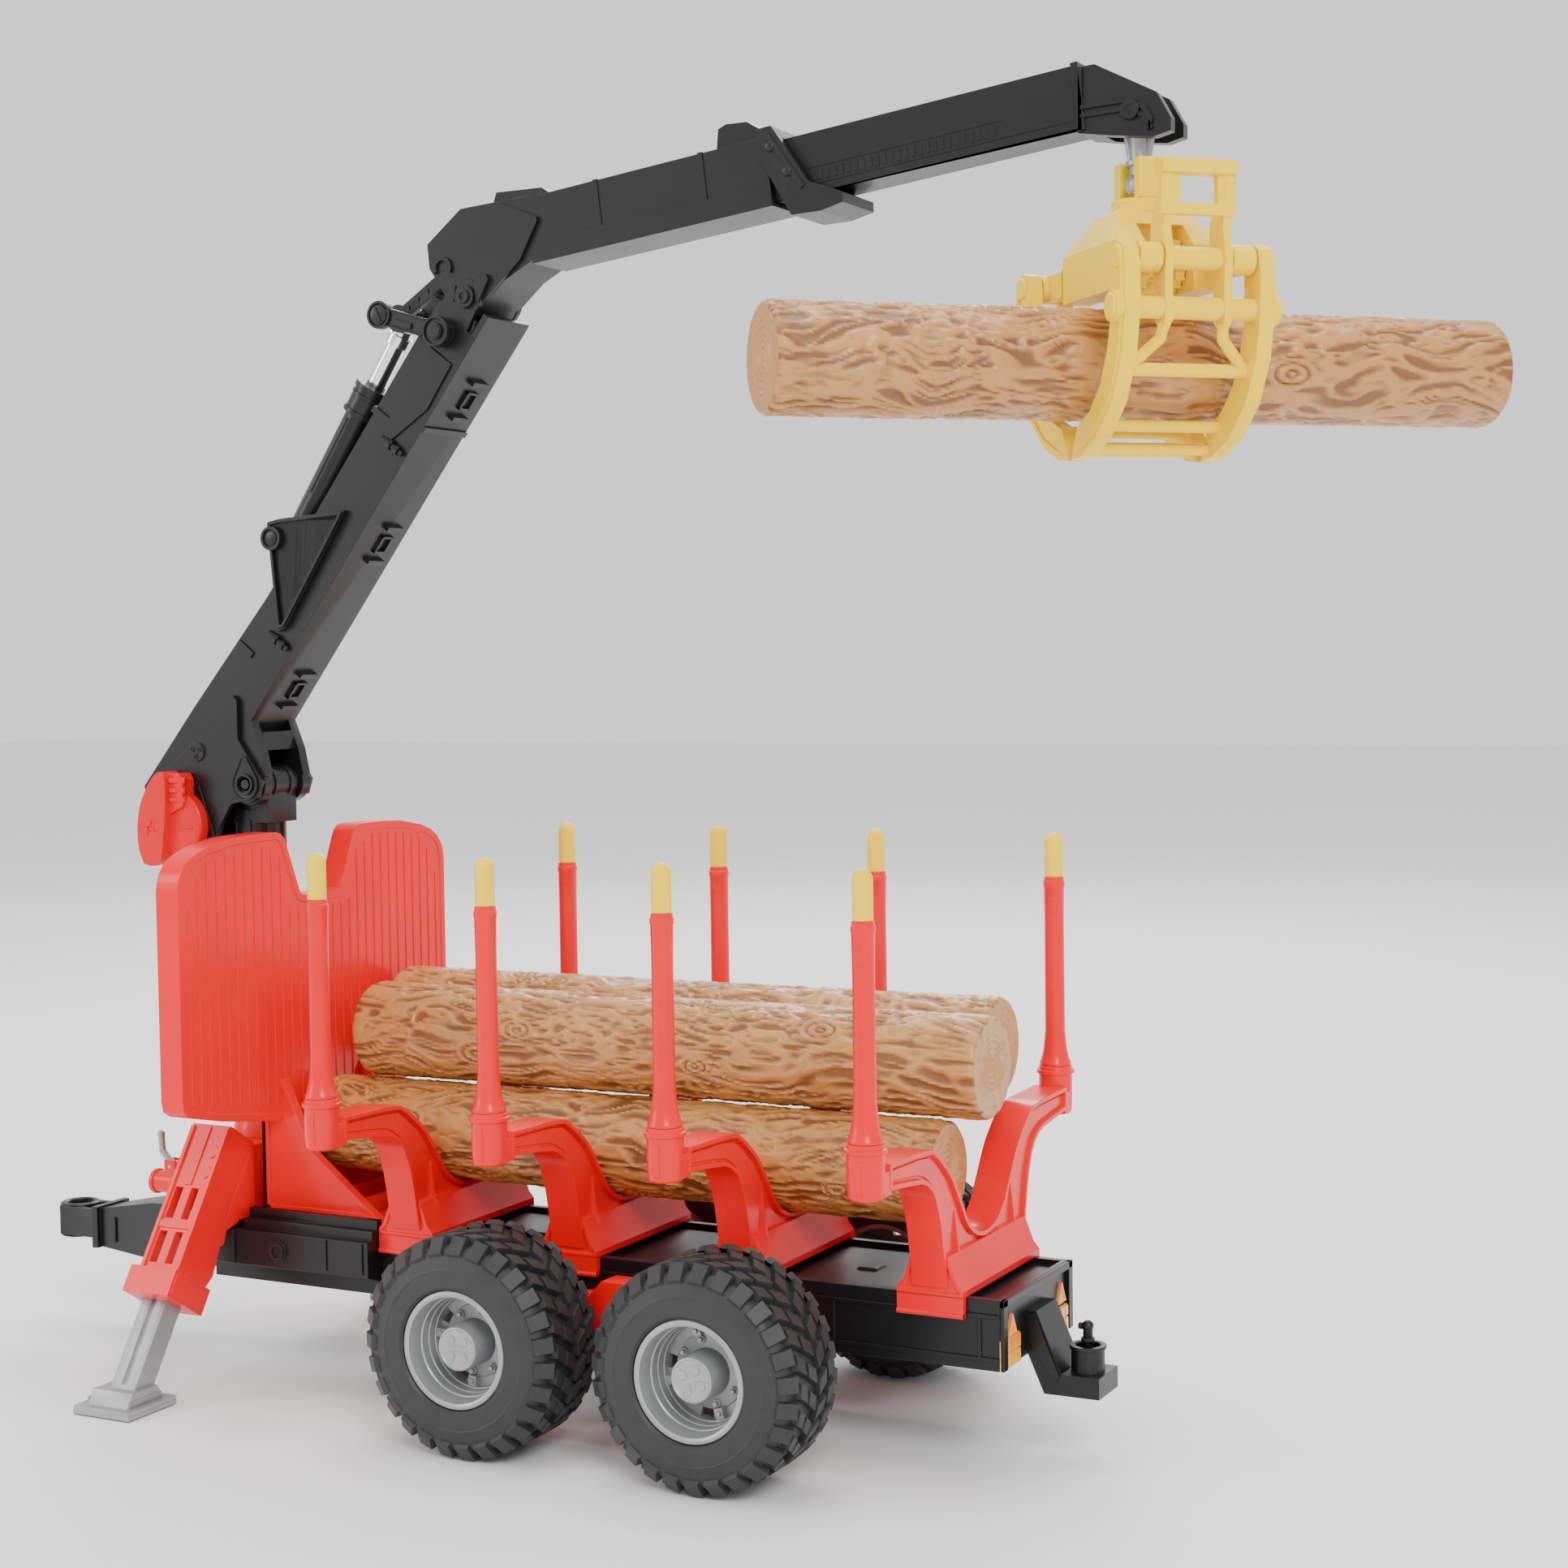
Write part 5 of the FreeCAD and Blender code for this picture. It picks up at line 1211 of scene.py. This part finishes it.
# ---------------------------------------------------------------- chassis, supports and hitch
class TRAILER_OT_chassis(bpy.types.Operator):
    """Build the chassis, drawbar, step panels, reflectors, hitch and valve"""

    bl_idname = "trailer.chassis"
    bl_label = "Chassis"

    def execute(self, context):
        frame_piece = Moulding("chassis_frame")
        low, high = span("chassis_frame")
        rear = high.x
        for sign in (-1, 1):
            inner, outer = sorted((sign * high.y, sign * (high.y + 0.6)))
            frame_piece.block((-112, inner, 38), (rear, outer, 39.4))
            frame_piece.block((-112, inner, 52), (rear, outer, 53.4))
            for x in (-60, -8, 66, 118):
                frame_piece.block((x, inner, 39.2), (x + 1.4, outer, 52.2))
            frame_piece.block((rear, sign * 29.2 - 1.8, 35), (rear + 1.4, sign * 29.2 + 1.8, 58))
        frame_piece.block((rear, -31, 55.6), (rear + 1.4, 31, 58))
        for x in (-66, 66):
            frame_piece.block((x - 4, -4, 56.0), (x + 4, 4, 56.9), (0.8, 0.8))
        frame_piece.finish("chassis_rails", "chassis", "black_plastic", ["chassis_frame"], 0.25)

        bar_piece = Moulding("drawbar")
        for sign in (-1, 1):
            for x in (-262, -236, -212):
                half = 7.5 + (x + 269.5) * 0.125
                inner, outer = sorted((sign * (half - 0.4), sign * (half + 0.9)))
                bar_piece.block((x, inner, 36), (x + 1.6, outer, 46))
        bar_piece.turned([(5.2, 47.6), (7.8, 47.6), (7.8, 48.4), (7.0, 48.9), (5.8, 48.9), (5.2, 48.4)], (-286.7, 0, 0), "Z", 40)
        bar_piece.turned([(5.2, 36.2), (7.8, 36.2), (7.8, 35.6), (5.2, 35.6)], (-286.7, 0, 0), "Z", 40)
        bar_piece.finish("towing_beam", "chassis", "black_plastic", ["drawbar"], 0.25)

        steps = Moulding("step_panels")
        for sign in (-1, 1):
            steps.turned([(2.2, sign * 0.9), (2.2, sign * 1.6), (3.2, sign * 1.6), (3.2, sign * 0.9)], (-155, sign * 40, 49.4), steps=28)
            for x in (-176, -134, -118):
                inner, outer = sorted((sign * 39.8, sign * 40.6))
                steps.block((x, inner, 44.2), (x + 0.9, outer, 55.4))
        steps.finish("stepped_panels", "chassis", "black_plastic", ["step_panels"], 0.22)

        plates = Moulding()
        triangles = Moulding()
        face = rear + 1.25
        for y0, y1, z0, z1 in ((-31, -16, 35, 45), (17, 27, 35, 44)):
            columns = 3
            step = (y1 - y0) / columns
            plates.block((rear - 0.2, y0, z0), (face - 0.5, y1, z1))
            for i in range(columns):
                plates.block((face - 0.6, y0 + i * step + 0.3, z0 + 0.4), (face, y0 + (i + 1) * step - 0.3, z0 + 4.6))
                plates.block((face - 0.6, y0 + i * step + 0.3, z0 + 5.2), (face, y0 + (i + 1) * step - 0.3, z1 - 0.4))
        for y in (-22.6, 21.5):
            outline = [(y - 3.6, 45.4), (y + 3.6, 45.4), (y, 52.4)]
            start, swept = triangles.plate(along(outline, rear - 0.2), (1.4, 0, 0))
            triangles.panel(swept, 0.7, 0.4)
        plates.finish("reflector_plates", "chassis", "reflector_orange", ["rear_reflectors"], 0.15)
        triangles.finish("reflector_triangles", "chassis", "reflector_triangle", ["rear_reflectors"], 0.12, slot="reflector_orange")

        bracket = Moulding("hitch_bracket")
        for sign in (-1, 1):
            side = [(127, 40), (127, 49), (129, 49.4), (137.6, 29.4), (136.0, 27.0)]
            bracket.plate(beside(side, sign * 9.0), (0, sign * 0.9, 0))
        bracket.turned([(5.4, 37.4), (6.1, 37.4), (6.1, 38.5), (4.3, 38.5), (4.3, 37.4)], (144, 0, 0), "Z", 36)
        bracket.turned([(5.4, 24.2), (6.0, 24.2), (6.0, 25.4), (5.4, 25.4)], (144, 0, 0), "Z", 36)
        bracket.finish("hitch_cup", "chassis", "black_plastic", ["hitch_bracket"], 0.11)
        pin = Moulding("hitch_pin")
        pin.turned([(1.5, 39.5), (2.3, 39.7), (2.3, 40.7), (1.5, 41.0)], (144, 0, 0), "Z", 24)
        pin.finish("hooked_pin", "hitch", "black_plastic", ["hitch_pin"], 0.15)

        valve = Moulding("valve_cylinder")
        y, z = -33.0, 69.0
        for a, b, radius in ((-217.9, -216.4, 4.7), (-205.5, -203.5, 4.6)):
            valve.peg((a, y, z), (b, y, z), radius, steps=32)
        valve.peg((-218.8, y, z), (-219.5, y, z), 2.2, 1.6, steps=24)
        valve.finish("valve_body", "chassis", "red_plastic", ["valve_cylinder"], 0.09)
        lever = Moulding("valve_lever")
        lever.ball((-215, y, 87), 1.5, 16)
        lever.finish("bent_lever", "valve", "silver_plastic", ["valve_lever"], 0.15)

        pedestal = Moulding("crane_pedestal")
        pedestal.turned([(11.6, 84), (13.6, 84), (13.0, 87), (12.1, 90), (11.6, 90)], (-190.6, 0, 0), "Z", 48)
        pedestal.turned([(11.8, 145), (12.6, 145), (12.6, 149.6), (11.8, 149.8)], (-190.6, 0, 0), "Z", 48)
        for sign in (-1, 1):
            start, swept = pedestal.plate([(-202, sign * 25.9, 60), (-179, sign * 25.9, 60), (-179, sign * 25.9, 82), (-202, sign * 25.9, 82)], (0, sign * 0.5, 0))
            pedestal.panel(swept, 1.6, 0.7)
        pedestal.finish("crane_pillar", "chassis", "red_plastic", ["crane_pedestal"], 0.25)

        pivots = Moulding("bogie_pivots")
        for sign in (-1, 1):
            pivots.turned([(2.0, 0), (2.0, sign * 0.5), (4.0, sign * 0.5), (4.0, 0)], (0, sign * 53.8, 46), steps=28)
        pivots.finish("bogie_pivot_heads", "chassis", "red_plastic", ["bogie_pivots"], 0.15)
        for label, sign in (("near", -1), ("far", 1)):
            beam = Moulding("bogie_beam_" + label)
            for start_y, push in ((sign * 51.8, sign * 0.4), (sign * 42.2, -sign * 0.4)):
                for x in (-26, 18):
                    beam.block((x, min(start_y, start_y + push), 33.5), (x + 8, max(start_y, start_y + push), 43.5))
            beam.finish("rocker_beam_" + label, "bogie_" + label, "red_plastic", ["bogie_beam_" + label], 0.12)
            pins = Moulding("wheel_pins_" + label)
            pins.finish("stub_axles_" + label, "bogie_" + label, "silver_plastic", ["wheel_pins_" + label], 0.12)
        return {"FINISHED"}


LEG_TILT = math.radians(32.9)


def on_leg(s, t):
    """(y, z) at distance s down the support's outer face line and t inwards from it."""
    c, n = math.cos(LEG_TILT), math.sin(LEG_TILT)
    return 40.0 + s * n - t * c, 94.0 - s * c - t * n


class TRAILER_OT_supports(bpy.types.Operator):
    """Build the two slanted supports with their legs"""

    bl_idname = "trailer.supports"
    bl_label = "Supports"

    def execute(self, context):
        for label, sign in (("near", -1), ("far", 1)):
            def strip(piece, s0, s1, t0, t1, x0, x1):
                corners = [on_leg(s0, t0), on_leg(s1, t0), on_leg(s1, t1), on_leg(s0, t1)]
                return piece.plate([(x0, sign * y, z) for y, z in corners], (x1 - x0, 0, 0))

            housing = Moulding("outrigger_housing_" + label)
            for x0, x1 in ((-193.2, -191.6), (-177.2, -175.6)):
                strip(housing, 1.0, 56, -0.9, 0.3, x0, x1)
            strip(housing, 1.0, 24, -0.6, 0.3, -187.2, -184.0)
            strip(housing, 38.2, 40.8, -0.6, 0.3, -191.6, -177.2)
            for s in (8, 16):
                arrow = [(s, -184.6), (s + 2.6, -181.4), (s + 5.2, -184.6), (s + 4.2, -184.6), (s + 2.6, -182.8), (s + 1.0, -184.6)]
                points = [(x + 5.4, sign * on_leg(d, 0)[0], on_leg(d, 0)[1]) for d, x in arrow]
                out = Vector((0, sign * math.cos(LEG_TILT), math.sin(LEG_TILT))) * 0.5
                housing.plate(points, out)
            for x in (-194.9, -174.1):
                low, high = sorted((x, x + (0.4 if x > -180 else -0.4)))
                strip(housing, 58.2, 65.6, -2.4, 16.4, low, high)
            housing.finish("support_guide_" + label, "chassis", "red_plastic", ["outrigger_housing_" + label], 0.12)

            leg = Moulding("outrigger_leg_" + label)
            leg.block((-200.2, min(sign * 74.9, sign * 100.1), 0), (-174.6, max(sign * 74.9, sign * 100.1), 1.6))
            for x in (-197, -178.6):
                leg.block((x, min(sign * 79, sign * 96), 3), (x + 0.9, max(sign * 79, sign * 96), 5.4))
            leg.finish("support_leg_" + label, "leg_" + label, "silver_plastic", ["outrigger_leg_" + label], 0.18)
        return {"FINISHED"}


# ---------------------------------------------------------------- stage
class TRAILER_OT_stage(bpy.types.Operator):
    """Make the pale floor, the soft lights and the camera"""

    bl_idname = "trailer.stage"
    bl_label = "Stage"

    def execute(self, context):
        collection = context.scene.collection
        mesh = bpy.data.meshes.new("studio_floor")
        bm = bmesh.new()
        bmesh.ops.create_grid(bm, x_segments=1, y_segments=1, size=6.0)
        bm.to_mesh(mesh)
        bm.free()
        mesh.materials.append(floor_finish())
        floor = bpy.data.objects.new("studio_floor", mesh)
        floor.location = (0, 0, -0.0004)
        collection.objects.link(floor)
        for name, place, size, power in LIGHTS:
            lamp = bpy.data.lights.new(name, "AREA")
            lamp.shape = "RECTANGLE"
            lamp.size, lamp.size_y = size
            lamp.energy = power
            lamp_object = bpy.data.objects.new(name, lamp)
            lamp_object.location = place
            aim = Vector(LIGHT_AIM) - Vector(place)
            lamp_object.rotation_euler = aim.to_track_quat("-Z", "Y").to_euler()
            collection.objects.link(lamp_object)
        world = bpy.data.worlds.new("studio")
        world.use_nodes = True
        world.node_tree.nodes["Background"].inputs["Color"].default_value = (1, 1, 1, 1)
        world.node_tree.nodes["Background"].inputs["Strength"].default_value = WORLD_STRENGTH
        context.scene.world = world
        camera = bpy.data.cameras.new("camera")
        camera.lens = LENS
        camera.sensor_width = SENSOR
        camera.clip_start = 0.05
        camera.clip_end = 50
        camera_object = bpy.data.objects.new("camera", camera)
        turn, dip, roll = (math.radians(a) for a in CAMERA_ANGLES)
        forward = Vector((-math.sin(turn) * math.cos(dip), math.cos(turn) * math.cos(dip), -math.sin(dip)))
        level = Vector((math.cos(turn), math.sin(turn), 0))
        above = level.cross(forward)
        right = level * math.cos(roll) + above * math.sin(roll)
        up = above * math.cos(roll) - level * math.sin(roll)
        pose = Matrix((right, up, -forward)).transposed().to_4x4()
        camera_object.matrix_world = Matrix.Translation(TO_ROW @ Vector(CAMERA_PLACE)) @ pose
        collection.objects.link(camera_object)
        context.scene.camera = camera_object
        return {"FINISHED"}


CAMERA_PLACE = (433.23, -775.56, 265.0)
CAMERA_ANGLES = (27.17, 2.91, -0.80)
LENS = 58.47
SENSOR = 36.0
LIGHT_AIM = (0.0, 0.0, 0.18)
LIGHTS = (
    ("key_light", (1.3, -1.5, 1.5), (0.8, 0.8), 32.0),
    ("fill_light", (-1.6, -1.2, 0.9), (0.5, 1.2), 13.0),
    ("top_light", (0.0, 0.3, 1.7), (1.4, 0.9), 18.0),
    ("back_light", (-0.6, 1.6, 1.2), (1.0, 0.6), 15.0),
)
WORLD_STRENGTH = 1.15


# ---------------------------------------------------------------- panel and start
BUILD_STEPS = (TRAILER_OT_wheels, TRAILER_OT_logs, TRAILER_OT_bunks, TRAILER_OT_headboard, TRAILER_OT_boom,
               TRAILER_OT_knob, TRAILER_OT_elbow, TRAILER_OT_grab, TRAILER_OT_chassis, TRAILER_OT_supports,
               TRAILER_OT_stage)


class TRAILER_PT_pieces(bpy.types.Panel):
    """Lists the steps that build the trailer"""

    bl_idname = "TRAILER_PT_pieces"
    bl_label = "Toy Forestry Trailer"
    bl_space_type = "VIEW_3D"
    bl_region_type = "UI"
    bl_category = "Trailer"

    def draw(self, context):
        layout = self.layout
        for group in (context.scene.trailer_sizes, context.scene.trailer_colours):
            box = layout.box()
            for name in group.bl_rna.properties.keys():
                if name not in ("rna_type", "name"):
                    box.prop(group, name)
        for step in BUILD_STEPS:
            layout.operator(step.bl_idname)


CLASSES = (TrailerSizes, TrailerColours, *BUILD_STEPS, TRAILER_PT_pieces)


def register():
    """Register the classes and the scene's settings."""
    for cls in CLASSES:
        bpy.utils.register_class(cls)
    bpy.types.Scene.trailer_sizes = bpy.props.PointerProperty(type=TrailerSizes)
    bpy.types.Scene.trailer_colours = bpy.props.PointerProperty(type=TrailerColours)


def unregister():
    """Take the classes and settings away again."""
    del bpy.types.Scene.trailer_colours
    del bpy.types.Scene.trailer_sizes
    for cls in reversed(CLASSES):
        bpy.utils.unregister_class(cls)


def main():
    """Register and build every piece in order."""
    register()
    mix_finishes(bpy.context.scene.trailer_colours)
    dress_frame()
    for step in BUILD_STEPS:
        group, name = step.bl_idname.split(".")
        getattr(getattr(bpy.ops, group), name)()
    bpy.context.view_layer.update()


if __name__ == "__main__":
    main()
